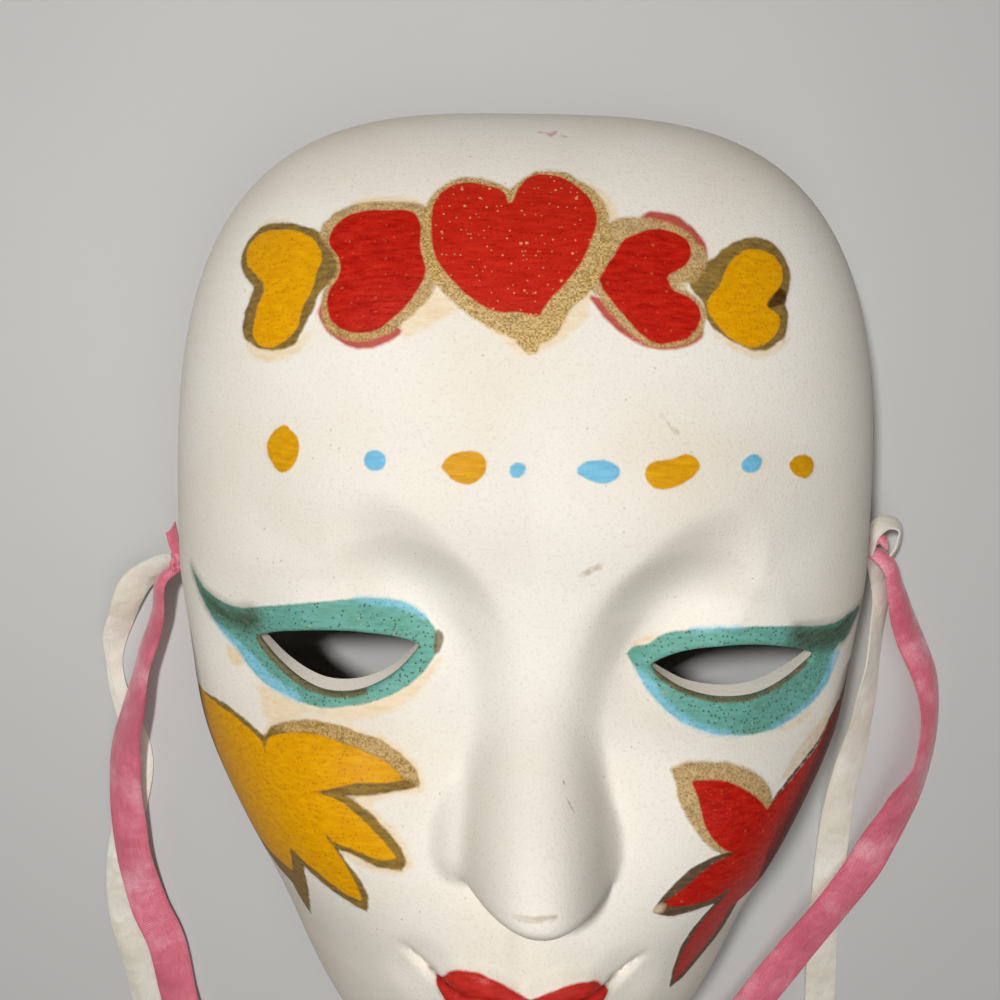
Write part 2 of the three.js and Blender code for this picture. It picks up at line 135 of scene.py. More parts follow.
class Finish:
    """A material in the making, with short names for its nodes."""

    def __init__(self, name):
        self.material = bpy.data.materials.new(name)
        self.material.use_nodes = True
        self.tree = self.material.node_tree
        self.shader = self.tree.nodes["Principled BSDF"]
        self.place = self.node("ShaderNodeTexCoord").outputs["Object"]

    def node(self, kind, inputs=None, **settings):
        made = self.tree.nodes.new(kind)
        for key, value in settings.items():
            setattr(made, key, value)
        for key, value in (inputs or {}).items():
            self.put(made.inputs[key], value)
        return made

    def put(self, socket, value):
        if isinstance(value, bpy.types.NodeSocket):
            self.tree.links.new(value, socket)
        else:
            socket.default_value = value

    def shade(self, **values):
        for key, value in values.items():
            self.put(self.shader.inputs[key.replace("_", " ")], value)

    def attribute(self, name):
        return self.node("ShaderNodeAttribute", attribute_name=name).outputs["Fac"]

    def noise(self, scale, detail=2.0, place=None, roughness=0.5):
        inputs = {"Vector": place or self.place, "Scale": scale, "Detail": detail, "Roughness": roughness}
        return self.node("ShaderNodeTexNoise", inputs).outputs["Fac"]

    def math(self, operation, *values):
        return self.node("ShaderNodeMath", dict(enumerate(values)), operation=operation).outputs[0]

    def spread(self, value, low, high, to_low=0.0, to_high=1.0):
        inputs = {"Value": value, "From Min": low, "From Max": high, "To Min": to_low, "To Max": to_high}
        return self.node("ShaderNodeMapRange", inputs).outputs[0]

    def mix(self, share, a, b):
        return self.node("ShaderNodeMix", {0: share, 6: a, 7: b}, data_type="RGBA").outputs[2]

    def cells(self, scale):
        """Distance to the nearest middle of a cell, and three random numbers for each cell."""
        cells = self.node("ShaderNodeTexVoronoi", {"Vector": self.place, "Scale": scale}).outputs
        return cells["Distance"], self.node("ShaderNodeSeparateColor", {0: cells["Color"]}).outputs

    def specks(self, cells, lot, size, share):
        """Round specks: 1 inside them, on this share of the cells, chosen by one of their numbers."""
        chosen = self.math("LESS_THAN", cells[1][lot], share)
        return self.math("MULTIPLY", chosen, self.spread(cells[0], size, 0.7 * size))

    def bump(self, height, distance, **under):
        return self.node("ShaderNodeBump", {"Height": height, "Distance": distance, **under}).outputs[0]


def satin(name, light, dark, painted_sheen, half_width):
    """Woven satin ribbon, from its own places along and across in millimetres, with a painted sheen in broad
    patches.
    """
    finish = Finish(name)
    light, dark, painted_sheen = linear(*light), linear(*dark), linear(*painted_sheen)
    along, across = finish.attribute("along"), finish.attribute("across")
    cloth = finish.node("ShaderNodeCombineXYZ", {0: along, 1: across}).outputs[0]
    stretched = finish.node("ShaderNodeMapping", {"Vector": cloth, "Scale": (0.3, 2.6, 1)}).outputs[0]
    threads = finish.noise(1.0, 4, stretched, 0.75)
    grain = finish.noise(2.6, 3, cloth, 0.8)
    broad = finish.noise(0.08, 3, cloth, 0.55)
    turns = finish.math("MULTIPLY", finish.math("ADD", along, across), 2 * math.pi / SATIN_TWILL)
    twill = finish.spread(finish.math("SINE", turns), -1, 1)
    edge = finish.spread(finish.math("ABSOLUTE", across), half_width - 0.7, half_width - 0.35)
    colour = finish.mix(finish.spread(finish.math("ADD", threads, grain), 0.75, 1.25, 0.25, 1), dark, light)
    # Darker in some broad patches; in others a grainy painted sheen of the lighter sheen colour
    colour = finish.mix(finish.spread(broad, 0.45, 0.7, 0, 0.6), colour, dark)
    sheen_grain = finish.spread(grain, 0.38, 0.6, 0.2, 0.8)
    painted_sheen_share = finish.math("MULTIPLY", finish.spread(broad, 0.48, 0.34), sheen_grain)
    colour = finish.mix(painted_sheen_share, colour, painted_sheen)
    colour = finish.mix(finish.math("MULTIPLY", twill, 0.16), colour, dark)
    colour = finish.mix(finish.math("MULTIPLY", edge, 0.3), colour, dark)
    weave = finish.bump(finish.math("ADD", twill, grain), 0.00006)
    folds = finish.bump(broad, 0.002, Normal=weave)
    finish.shade(Base_Color=colour, Roughness=finish.spread(threads, 0.3, 0.7, 0.28, 0.42), Normal=folds,
                 Sheen_Weight=0.25, Sheen_Roughness=0.4, Specular_IOR_Level=0.6)
    return finish.material


def smooth_curve(points, spacing, closed=False):
    """Smooth curve through the points, cut into even steps of about the spacing."""
    p = np.asarray(points, float)
    p = np.vstack([p[-1:], p, p[:2]]) if closed else np.vstack([2 * p[0] - p[1], p, 2 * p[-1] - p[-2]])
    knots = np.sqrt(np.linalg.norm(np.diff(p, axis=0), axis=1))
    slopes = np.diff(p, axis=0) / knots[:, None]
    t = np.linspace(0, 1, CURVE_STEPS, endpoint=False)[:, None]
    pieces = []
    for i in range(1, len(p) - 2):
        before, here, after = knots[i - 1:i + 2]
        start = here * (slopes[i - 1] - (p[i + 1] - p[i - 1]) / (before + here) + slopes[i])
        end = here * (slopes[i] - (p[i + 2] - p[i]) / (here + after) + slopes[i + 1])
        rise = t * t * (3 - 2 * t)
        bend = start * t * (1 - t) ** 2 - end * t * t * (1 - t)
        pieces.append(p[i] * (1 - rise) + p[i + 1] * rise + bend)
    line = np.vstack(pieces + [p[-2:-1]])
    length = lengths_along(line)[-1]
    at = np.linspace(0, length, max(4, round(length / spacing)) + 1)
    return evenly(line, at[:-1] if closed else at)


def mesh_object(name, points, faces, material, node=None, values=None):
    """Smooth-shaded piece of the object, riding on its body, with named values at its points."""
    mesh = bpy.data.meshes.new(name)
    mesh.from_pydata(to_row(points).tolist(), [], [list(face) for face in faces])
    mesh.update()
    mesh.shade_smooth()
    mesh.set_sharp_from_angle(angle=SHARP_ANGLE)
    for key, numbers in (values or {}).items():
        mesh.attributes.new(key, "FLOAT", "POINT").data.foreach_set("value", np.asarray(numbers, np.float32))
    mesh.materials.append(material)
    piece = in_scene(name, mesh)
    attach(piece, "root")
    if node:
        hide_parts(node)
    return piece


# Ribbons: woven satin bands on the routes that their solids have
SATIN_TWILL = 0.55
RIBBON_THICKNESS = 0.4
RIBBON_ACROSS = 9
RIBBON_STEP = 1.1
PINK_WIDTH = 8.5
IVORY_WIDTH = 7.0
ON_FLOOR = 0.55
ON_RIBBON = 1.8
WAVE = 4.0
WAVE_LENGTH = 44.0
WAVE_STARTS = (12, 30)
CUT_SLANT = 3.0
HOLE_HEIGHT = 8.0
HOLE_RADIUS = 2.5
WALL_DISTANCE = 72.3
LEFT_HOLE_LEVEL = 8.0
RIGHT_HOLE_LEVEL = 14.5
KNOT_RADIUS = 3.3
KNOT_LENGTH = 4.0
KNOT_STAND_OFF = 1.0
INNER_KNOT_STAND_OFF = 2.4
KNOT_MIDDLE = WALL_DISTANCE + KNOT_STAND_OFF + KNOT_LENGTH / 2
BELOW_KNOT = KNOT_RADIUS + 0.9

# Each ribbon: side, width, start, rows of [out from the shell's side, Y, height if not on the floor], then by
# length along it the share of its width that it shows, its roll in degrees, and its ridge's height
RIBBONS = {
    "ribbon_pink_left": (-1, PINK_WIDTH, (-KNOT_MIDDLE - 2.6, LEFT_HOLE_LEVEL - BELOW_KNOT, 8), [
        [7.5, -5, 5.2], [11, -15, 2.8], [13.4, -25, ON_RIBBON], [16, -36, ON_RIBBON], [16.7, -46, ON_RIBBON],
        [16.4, -55, ON_RIBBON], [15.2, -65, ON_RIBBON], [12.6, -75, ON_RIBBON], [8.8, -84, ON_RIBBON],
        [6, -99, ON_RIBBON], [0.5, -116, ON_RIBBON], [-7.5, -131, ON_RIBBON], [-20.5, -143, 1.2],
        [-37.5, -150], [-56.5, -153], [-74.5, -154], [-92.5, -160],
    ], [[0, 0.3], [10, 0.55], [26, 0.8], [42, 1], [400, 1]],
        [[0, -50], [12, -46], [26, -48], [40, -40], [54, -26], [70, -8], [90, 6], [114, 0], [400, 0]],
        [[0, 0.8], [20, 0.6], [50, 0.9], [90, 0.5], [400, 0.4]]),
    "ribbon_ivory_left": (-1, IVORY_WIDTH, (-KNOT_MIDDLE - 2.1, LEFT_HOLE_LEVEL - 1, 5.2), [
        [12.2, 2.5, 3.2], [16, -5, 1.2], [18.6, -12], [19, -19], [17.4, -27], [15, -35], [14.7, -43],
        [17, -54], [19, -65], [19, -76], [16.8, -87], [14.4, -99], [13.5, -116], [9.5, -134], [-0.5, -150],
        [-15.5, -162], [-33.5, -169], [-52.5, -173], [-72.5, -175],
    ], [[0, 0.45], [7, 0.8], [16, 1], [26, 0.85], [36, 0.5], [46, 0.6], [60, 1], [400, 1]],
        [[0, 30], [8, 34], [18, 36], [27, 38], [36, 14], [42, 2], [400, 0]],
        [[0, 0.5], [40, 0.3], [90, 0.6], [400, 0.3]]),
    "ribbon_pink_right": (1, PINK_WIDTH, (KNOT_MIDDLE + 3.4, RIGHT_HOLE_LEVEL - BELOW_KNOT, 8.4), [
        [8.6, 5, 6.8], [11.4, -2, 4.6], [15, -9.5, 3], [18.2, -17, 2.1], [19.4, -26, ON_RIBBON],
        [18.6, -36, ON_RIBBON], [16, -44, ON_RIBBON], [12, -53.5, ON_RIBBON], [7.5, -63, ON_RIBBON],
        [1.5, -72, ON_RIBBON], [-5.5, -82, ON_RIBBON], [-14.5, -95, ON_RIBBON], [-23.5, -109, ON_RIBBON],
        [-28.5, -123], [-24.5, -138], [-13.5, -149], [-6.5, -163], [-10.5, -179], [-24.5, -188],
    ], [[0, 0.34], [8, 0.6], [20, 0.85], [32, 0.95], [60, 1], [400, 1]],
        [[0, 45], [12, 40], [24, 30], [34, 40], [44, 46], [56, 42], [68, 22], [84, 4], [400, 0]],
        [[0, 0.9], [20, 1.4], [36, 1.3], [60, 0.7], [400, 0.4]]),
    "ribbon_ivory_right": (1, IVORY_WIDTH, (KNOT_MIDDLE + 1.6, RIGHT_HOLE_LEVEL - BELOW_KNOT, 5), [
        [6.8, 3, 2.6], [6.7, -5, 1.1], [6.3, -14], [5.4, -24], [3.9, -34], [1.9, -45], [1, -56], [0.4, -68],
        [0, -82], [0.4, -97], [1.4, -112], [5.5, -127], [13.5, -140], [17.5, -155], [14.5, -171], [9.5, -187],
    ], [[0, 0.6], [10, 0.8], [30, 1], [400, 1]],
        [[0, 28], [14, 40], [30, 54], [42, 38], [56, 10], [80, 0], [400, 0]],
        [[0, 0.5], [40, 0.6], [90, 0.3], [400, 0.3]]),
}


def eased(at, rows):
    """Value at a length, eased between [length, value] rows."""
    places, values = np.array(rows, float).T
    i = np.clip(np.searchsorted(places, at, side="right") - 1, 0, len(places) - 2)
    t = np.clip((at - places[i]) / (places[i + 1] - places[i]), 0, 1)
    return values[i] + (values[i + 1] - values[i]) * t * t * (3 - 2 * t)


def band(line, widths, rolls, ridges, cut=0.0):
    """Closed flat band along a line: points, faces, and the places along and across at each point."""
    tangent = unit(np.gradient(line, axis=0))
    level = unit(np.cross(tangent, [0, 0, 1]))
    lift = np.cross(level, tangent)
    c, s = np.cos(rolls)[:, None], np.sin(rolls)[:, None]
    wide, face = level * c + lift * s, lift * c - level * s
    share = np.linspace(-0.5, 0.5, RIBBON_ACROSS)
    across = np.concatenate([share, share[::-1]])
    half = np.repeat([RIBBON_THICKNESS / 2, -RIBBON_THICKNESS / 2], RIBBON_ACROSS)
    rise = ridges[:, None] * (1 - (2 * across) ** 2) + half
    slant = np.zeros(len(line))
    slant[-1] = cut
    along = lengths_along(line)[:, None] + slant[:, None] * across
    reach = across * widths[:, None]
    points = (line[:, None] + wide[:, None] * reach[..., None] + face[:, None] * rise[..., None]
              + tangent[:, None] * (slant[:, None] * across)[..., None]).reshape(-1, 3)
    ring = len(across)
    faces = [(i * ring + j, i * ring + (j + 1) % ring, (i + 1) * ring + (j + 1) % ring, (i + 1) * ring + j)
             for i in range(len(line) - 1) for j in range(ring)]
    for j in range(RIBBON_ACROSS - 1):
        quad = (j, ring - 1 - j, ring - 2 - j, j + 1)
        faces.append(quad)
        faces.append(tuple(k + (len(line) - 1) * ring for k in quad[::-1]))
    return points, faces, {"along": along.ravel(), "across": reach.ravel()}


def ribbon(name, material):
    side, width, start, rows, shares, rolls, ridges = RIBBONS[name]
    level = LEFT_HOLE_LEVEL if side < 0 else RIGHT_HOLE_LEVEL
    tied = (side * (WALL_DISTANCE + KNOT_STAND_OFF), level - 0.5, HOLE_HEIGHT + 0.3)
    laid = [(side * (HALF_WIDTH + out), y, *(height or [ON_FLOOR])) for out, y, *height in rows]
    line = smooth_curve([tied, start] + laid, RIBBON_STEP)
    at = lengths_along(line)
    widths = width * eased(at, shares)
    wave = WAVE * np.sin(at / WAVE_LENGTH * 2 * math.pi) * smooth(at, *WAVE_STARTS)
    roll = np.radians(eased(at, rolls) + wave)
    rest = np.minimum(line[:, 2], ON_RIBBON) - RIBBON_THICKNESS
    line[:, 2] = np.maximum(line[:, 2], rest + widths / 2 * np.abs(np.sin(roll)) + 0.1)
    points, faces, values = band(line, widths, roll, eased(at, ridges), CUT_SLANT)
    points[:, 2] = np.maximum(points[:, 2], 0.02)
    piece = mesh_object(name + "_satin", points, faces, material, name, values)


def joined(parts):
    """Several closed shells as one mesh."""
    starts = np.cumsum([0] + [len(points) for points, _, _ in parts])
    faces = [tuple(k + start for k in face) for start, (_, these, _) in zip(starts, parts) for face in these]
    values = {key: np.concatenate([part[key] for _, _, part in parts]) for key in ("along", "across")}
    return np.vstack([points for points, _, _ in parts]), faces, values


def winding(middle, side):
    """Turns of a small overhand knot, as one closed flat tube round a three-leaved line."""
    steps, sides = 72, 12
    t = around(steps)
    spread = (KNOT_RADIUS - 1.6) / 3
    line = np.column_stack([0.7 * np.sin(3 * t), spread * (np.sin(t) + 2 * np.sin(2 * t)),
                            spread * (np.cos(t) - 2 * np.cos(2 * t))])
    tangent = unit(np.roll(line, -1, axis=0) - np.roll(line, 1, axis=0))
    out = unit(np.cross(tangent, [1, 0, 0]))
    over = np.cross(out, tangent)
    turn = around(sides)
    ring = 0.7 * np.cos(turn)[:, None] * over[:, None] + np.sin(turn)[:, None] * out[:, None]
    points = (line[:, None] + ring).reshape(-1, 3) * [side, 1, 1] + middle
    rows = np.arange(steps * sides).reshape(steps, sides)
    corners = [np.roll(rows, (-i, -j), axis=(0, 1)) for i, j in ((0, 0), (0, 1), (1, 1), (1, 0))]
    faces = np.stack(corners, axis=2).reshape(-1, 4)[:, ::side].tolist()
    values = {"along": np.repeat(np.arange(steps) * 0.6, sides), "across": np.tile(3 * np.sin(turn), steps)}
    return points, faces, values


def tail(places, widths, rolls, ridge=0.3, cut=2.0):
    """Short end of ribbon through a few places."""
    line = smooth_curve(places, 0.6)
    at = lengths_along(line) / lengths_along(line)[-1]
    return band(line, eased(at, widths), np.radians(eased(at, rolls)), np.full(len(line), ridge), cut)


def knot(name, side, level, material, end):
    """Ribbon tied on both faces of the wall, with its neck through the temple hole."""
    outside = (side * (KNOT_MIDDLE - 0.9), level, HOLE_HEIGHT)
    inside = (side * (WALL_DISTANCE - WALL - INNER_KNOT_STAND_OFF - KNOT_LENGTH / 2), level, HOLE_HEIGHT)
    neck = [(place, level + sway, HOLE_HEIGHT) for place, sway in
            [(outside[0], 0), (side * (WALL_DISTANCE + 0.4), 0.15), (side * (WALL_DISTANCE - 2), -0.1),
             (inside[0], 0)]]
    parts = [winding(outside, side), winding(inside, side)]
    parts += [tail(neck, [[0, 2.8], [1, 2.8]], [[0, turn], [1, turn + 40]], 0.5, 0) for turn in (0, 60, 120)]
    points, faces, values = joined(parts + [end])
    return mesh_object(name + "_tied", points, faces, material, name, values)


# Each satin: the light and dark shades of its dye, then the colour of its painted sheen
pink = satin("pink_satin", (250, 140, 158), (206, 80, 104), (255, 196, 206), PINK_WIDTH / 2)
ivory = satin("ivory_satin", (252, 246, 232), (226, 217, 196), (255, 254, 248), IVORY_WIDTH / 2)


def by_knot(side, level, places):
    """Places given from a knot's middle, with their heights."""
    return [(side * KNOT_MIDDLE + out, level + up, height) for out, up, height in places]


left_stub = tail(by_knot(-1, LEFT_HOLE_LEVEL, [(1.6, 0.6, 8.6), (0.9, 3.6, 9.4), (0.2, 7.6, 9.8)]),
                 [[0, 2.0], [1, 2.8]], [[0, -30], [1, -55]])
right_stub = tail(by_knot(1, RIGHT_HOLE_LEVEL, [(-0.6, 0.4, 9.4), (0.8, 1.6, 10), (2.2, 0.6, 10)]),
                  [[0, 1.8], [1, 2.4]], [[0, 20], [1, 30]])
knot_left = knot("knot_left", -1, LEFT_HOLE_LEVEL, pink, left_stub)
knot_right = knot("knot_right", 1, RIGHT_HOLE_LEVEL, pink, right_stub)
loop = tail(by_knot(1, RIGHT_HOLE_LEVEL, [(-1.5, -1.5, 8.4), (-0.8, 2.5, 9.6), (1.6, 5, 10), (4.6, 4.4, 9.4),
                                          (5.6, 0, 7.4), (4.6, -4, 5.4)]),
            [[0, 4.4], [1, 5]], [[0, 68], [1, 60]], 0.2, 0)
loop_right = mesh_object("ribbon_loop_right", loop[0], loop[1], ivory, None, loop[2])

ribbon("ribbon_pink_left", pink)
ribbon("ribbon_ivory_left", ivory)
ribbon("ribbon_pink_right", pink)
ribbon("ribbon_ivory_right", ivory)


# Shape of the face, by the same formula as the solid's
FOREHEAD_EDGE = 102.0
CHIN_EDGE = -117.0
WIDEST_LEVEL = 11.5
FOREHEAD_SQUARENESS = 3.2
JAW_SQUARENESS = 2.36
JAW_TAPER = 0.41
JAW_TAPER_POWER = 1.36
CHEEK_FULLNESS = 0.022
DOME_DEPTH = 55.5
DOME_SQUARENESS = 2.55
FACE_SHIFT = 0.9
FACE_TILT = 0.035


def smooth_max(a, b, k):
    h = np.clip(0.5 + 0.5 * (a - b) / k, 0, 1)
    return b + (a - b) * h + k * h * (1 - h)


def mound(x, y, centre, radii, power=2.0, turn=0.0):
    """Soft mound of height 1 on an ellipse, turned by an angle."""
    c, s = math.cos(turn), math.sin(turn)
    u = ((x - centre[0]) * c + (y - centre[1]) * s) / radii[0]
    v = ((y - centre[1]) * c - (x - centre[0]) * s) / radii[1]
    return (1 - np.minimum(u * u + v * v, 1)) ** power


def profile(place, knots):
    """Smooth curve through [place, height] knots, flat at its peaks."""
    places, heights = np.array(knots, float).T
    slopes = np.diff(heights) / np.diff(places)
    product = slopes[:-1] * slopes[1:]
    total = np.where(product > 0, slopes[:-1] + slopes[1:], 1)
    tangents = np.concatenate([slopes[:1], np.where(product > 0, 2 * product / total, 0), slopes[-1:]])
    i = np.clip(np.searchsorted(places, place) - 1, 0, len(places) - 2)
    span = places[i + 1] - places[i]
    t = np.clip((place - places[i]) / span, 0, 1)
    rise = t * t * (3 - 2 * t)
    bend = tangents[i] * t * (1 - t) ** 2 - tangents[i + 1] * t * t * (1 - t)
    return heights[i] * (1 - rise) + heights[i + 1] * rise + span * bend


def jaw_share(v):
    cheek = np.cos(2 * np.pi * (v - 0.25) / 0.53) * smooth(v, 0, 0.3) * (1 - smooth(v, 0.8, 1))
    return 1 - JAW_TAPER * v ** JAW_TAPER_POWER + CHEEK_FULLNESS * cheek


def rim_terms(y):
    """At a level: how square the outline is, how far out the level is, and the share of the width."""
    upper = y >= WIDEST_LEVEL
    v = np.abs(y - WIDEST_LEVEL) / np.where(upper, FOREHEAD_EDGE - WIDEST_LEVEL, WIDEST_LEVEL - CHIN_EDGE)
    share = np.where(upper, 1.0, jaw_share(np.minimum(v, 1.5)))
    return np.where(upper, FOREHEAD_SQUARENESS, JAW_SQUARENESS), v, share


def rim_level(x, y):
    """0 at the top of the shell, 1 on its rim."""
    squareness, v, share = rim_terms(y)
    return ((np.abs(x) / (HALF_WIDTH * share)) ** squareness + v ** squareness) ** (1 / squareness)


def dome(level):
    return DOME_DEPTH * np.maximum(1 - level ** DOME_SQUARENESS, 0) ** (1 / DOME_SQUARENESS)


def soft_features(x, y, side, beside_nose):
    """Forehead, brows, eye sockets, lids, cheeks, muzzle and chin."""
    return (2.5 * mound(x, y, (0, 48), (60, 50))
            + 2.6 * mound(side, y, (22, 29), (36, 17), 2, 0.12)
            - 5.5 * mound(beside_nose, y, (24, 3), (22, 19), 1.6, 0.5)
            - 5 * mound(beside_nose, y, (22, 10), (24, 12), 1.6, 0.95)
            - 4.5 * mound(side, y, (45, -3), (27, 20))
            + 4 * mound(side, y, (36, 1), (20, 13))
            + 7 * mound(side, y, (36, -34), (32, 30))
            + 10.5 * mound(x, y, (0, -60), (44, 36))
            + 17 * mound(x, y, (0, -94), (30, 24)))


NOSE_MIDDLE = [[-44, 2.6], [-30, 1.6], [-12, 1.6], [10, 3], [30, 3]]
NOSE_CREST = [[-44, -0.5], [-42, 10.5], [-40, 18.5], [-36.5, 22], [-29, 19.5], [-18, 12], [-8, 5],
              [2, 0], [12, -2], [24, -1.5]]
NOSE_HALF_WIDTH = [[-42, 10], [-36, 14.4], [-28, 14.4], [-16, 13.6], [-4, 13.4], [8, 15]]
NOSE_FALL = [[-40, 22], [-34, 21], [-24, 19], [-12, 15.5], [0, 11], [8, 7]]
UPPER_LIP_EDGE = [[0, -56.9], [3.2, -54.4], [7, -52.8], [11, -53.3], [14, -55], [17, -57.4]]
LIP_LINE = [[0, -61.2], [4, -60.3], [9, -60], [17, -57.5], [22, -53]]
LOWER_LIP_EDGE = [[0, -69.5], [5, -69], [10, -66.3], [14, -62], [17, -57.6]]


def nose_height(beside_nose, y):
    fall = profile(y, NOSE_FALL) * (beside_nose / profile(y, NOSE_HALF_WIDTH)) ** 2.2
    return DOME_DEPTH + profile(y, NOSE_CREST) - fall - 60 * smooth(y, 12, 34) - 70 * smooth(-y, 43.5, 49)


def wing_height(side, y):
    d = ((side - 11.4) / 6.8) ** 2 + ((y + 33) / np.where(y > -33, 13, 8)) ** 2
    swell = np.where(d < 1, 12.5 * np.sqrt(np.maximum(1 - d, 0)), -14 * (np.sqrt(d) - 1))
    return DOME_DEPTH - 7 + swell


def lip_relief(x, y, side):
    line = profile(side, LIP_LINE)
    upper = np.maximum(profile(side, UPPER_LIP_EDGE) - line, 0.3)
    lower = np.maximum(line - profile(side, LOWER_LIP_EDGE), 0.3)

    def swell(t):
        return np.where(t > 0, np.maximum(1 - ((t - 0.41) / 0.62) ** 2, 0), 0)

    lips = (2.6 * swell((y - line) / upper) * np.minimum(upper / 7.5, 1)
            + 3.6 * swell((line - y) / lower) * np.minimum(lower / 8, 1))
    crease = 1.7 * np.exp(-(((y - line) / 1.2) ** 2)) * (1 - smooth(side, 18, 24))
    return (lips * (1 - smooth(side, 15, 17.6)) - crease
            - 1.2 * mound(side, y, (19, -57.5), (8, 9))
            - 1.1 * mound(x, y, (0, -49), (4.2, 8))
            - 3 * mound(x, y, (0, -75.5), (20, 8)))


def face_height(plan_x, plan_y):
    """Height of the outer surface, 0 outside the rim."""
    level = rim_level(plan_x, plan_y)
    x = plan_x - FACE_SHIFT
    y = plan_y + FACE_TILT * x
    side = np.abs(x)
    beside_nose = np.abs(x - profile(y, NOSE_MIDDLE))
    skin = dome(np.minimum(level, 1)) + soft_features(x, y, side, beside_nose) * (1 - smooth(level, 0.82, 1))
    with_nose = smooth_max(skin, nose_height(beside_nose, y), 0.8 + 3 * smooth(y, -44, -36))
    height = smooth_max(with_nose, wing_height(side, y), 4) + lip_relief(x, y, side)
    return np.where(level < 1, height, 0)


def inside_height(x, y):
    """Height of the inner surface: the outer one less a ball of the wall's radius."""
    lowest = face_height(x, y) - WALL
    for share in (0.4, 0.75, 1):
        drop = WALL * math.sqrt(1 - share ** 2)
        for turn in range(12):
            angle = turn * math.pi / 6
            reach = share * WALL
            near = face_height(x + reach * math.cos(angle), y + reach * math.sin(angle)) - drop
            lowest = np.minimum(lowest, near)
    return np.maximum(lowest, 0)


# The shell is meshed flat, on a sheet where the steep sides are rolled out to their real length
STEPS = np.linspace(0, math.pi / 2, 400)
ARC_LEVELS = np.sin(STEPS) ** (2 / DOME_SQUARENESS)
ARC_WIDTH = 88.0
ARC_LENGTHS = np.concatenate([[0], np.cumsum(np.hypot(
    np.diff(ARC_LEVELS) * ARC_WIDTH, np.diff(dome(ARC_LEVELS))))]) / ARC_WIDTH
ROLL_OUT = ARC_LENGTHS[-1]
MIDDLE = np.array([0, WIDEST_LEVEL])


def to_sheet(points):
    """Places of the plan, on the rolled-out sheet."""
    levels = rim_level(*points.T)
    stretch = np.interp(levels, ARC_LEVELS, ARC_LENGTHS) / np.maximum(levels, 1e-6)
    return MIDDLE + (points - MIDDLE) * stretch[:, None]


def from_sheet(places):
    """Places of the sheet, on the plan: found between the middle and the place itself."""
    rays = places - MIDDLE

    def too_far(share):
        levels = rim_level(*(MIDDLE + rays * share[:, None]).T)
        arc = np.where(levels < 1, np.interp(levels, ARC_LEVELS, ARC_LENGTHS), ROLL_OUT * levels)
        return arc / np.maximum(levels, 1e-6) * share > 1

    share, _ = halved(np.full(len(places), 0.3), np.full(len(places), 1.05), 34, too_far)
    return MIDDLE + rays * share[:, None]


# Eyes as cut through the face's surface: centre, half length, rise of the upper lid, drop of the lower lid
EYES = [((-34.05, 1.35), 15.25, 3.45, 8.25), ((39.4, -1.6), 16.3, 4.2, 5.8)]
EYE_POINTS = 150
EYE_TAPER = 0.4
LOWER_LID_SLOPE = 1.1
LID_ROUND = 1.2
LID_RINGS = [0.06, 0.2, 0.45, 0.8, 1.2, 1.7]

# Temple holes: side, level
TEMPLES = [(-1, LEFT_HOLE_LEVEL), (1, RIGHT_HOLE_LEVEL)]
HOLE_POINTS = 36
HOLE_RINGS = [0.2, 0.5, 1.0]

RIM_POINTS = 640
RIM_ROUND = 0.7
RIM_RINGS = [0.3, 0.7]
OUTER_SPACING = 0.9
INNER_SPACING = 2.2


def rounding(depth, radius):
    """How far an edge rounded with this radius falls back at a distance from the edge."""
    d = np.clip(np.asarray(depth, float), 0, radius)
    return radius - np.sqrt(radius ** 2 - (radius - d) ** 2)


def along_loop(points, count):
    """The closed line again, with points spaced evenly."""
    closed = np.vstack([points, points[:1]])
    return evenly(closed, np.linspace(0, lengths_along(closed)[-1], count, endpoint=False))


def eye_loop(eye, grow=0.0):
    """Almond outline of an eye's opening in the plan."""
    (x, y), half_length, rise, drop = eye
    angles = around(1200)
    share, upper = np.cos(angles), angles < math.pi
    lid = np.where(upper, rise + grow, -drop - grow)
    loop = np.stack([x + (half_length + grow) * share, y + lid * (1 - np.abs(share) ** 2.2)], axis=1)
    loop = along_loop(loop, EYE_POINTS)
    for _ in range(3):
        loop = loop / 2 + (np.roll(loop, 1, axis=0) + np.roll(loop, -1, axis=0)) / 4
    return loop


def rim_loop():
    """Outline of the rim in the plan, spaced evenly."""
    angles = around(4000)
    rays = np.column_stack([np.cos(angles), np.sin(angles)])
    reach, _ = halved(np.full(len(angles), 30.0), np.full(len(angles), 150.0), 50,
                      lambda reach: rim_level(*(MIDDLE + rays * reach[:, None]).T) >= 1)
    return along_loop(MIDDLE + rays * reach[:, None], RIM_POINTS)


def on_wall(side, y, z):
    """Distance from the middle at which the dome has height z at level y."""
    level = (1 - (z / DOME_DEPTH) ** DOME_SQUARENESS) ** (1 / DOME_SQUARENESS)
    squareness, v, share = rim_terms(y)
    return side * HALF_WIDTH * share * (level ** squareness - v ** squareness) ** (1 / squareness)


def temple_loop(side, y, grow=0.0):
    """Outline of a temple hole on the sheet, turning left."""
    turn = around(HOLE_POINTS)
    radius = HOLE_RADIUS + grow
    ys, zs = y + radius * np.cos(turn), HOLE_HEIGHT + radius * np.sin(turn)
    loop = to_sheet(np.stack([on_wall(side, ys, zs), ys], axis=1))
    return loop if side < 0 else loop[::-1]


def dome_normal(points):
    """Unit normals of the bare dome, in the plan and upward."""
    level = rim_level(*points.T)
    e = 0.01
    slope = np.stack([rim_level(*(points + step).T) - rim_level(*(points - step).T)
                      for step in ([e, 0], [0, e])], axis=1) / (2 * e)
    flat = DOME_DEPTH * slope * (level ** (DOME_SQUARENESS - 1))[:, None]
    up = np.maximum(1 - level ** DOME_SQUARENESS, 0) ** (1 - 1 / DOME_SQUARENESS)
    size = np.sqrt((flat ** 2).sum(1) + up ** 2)
    return flat / size[:, None], up / size


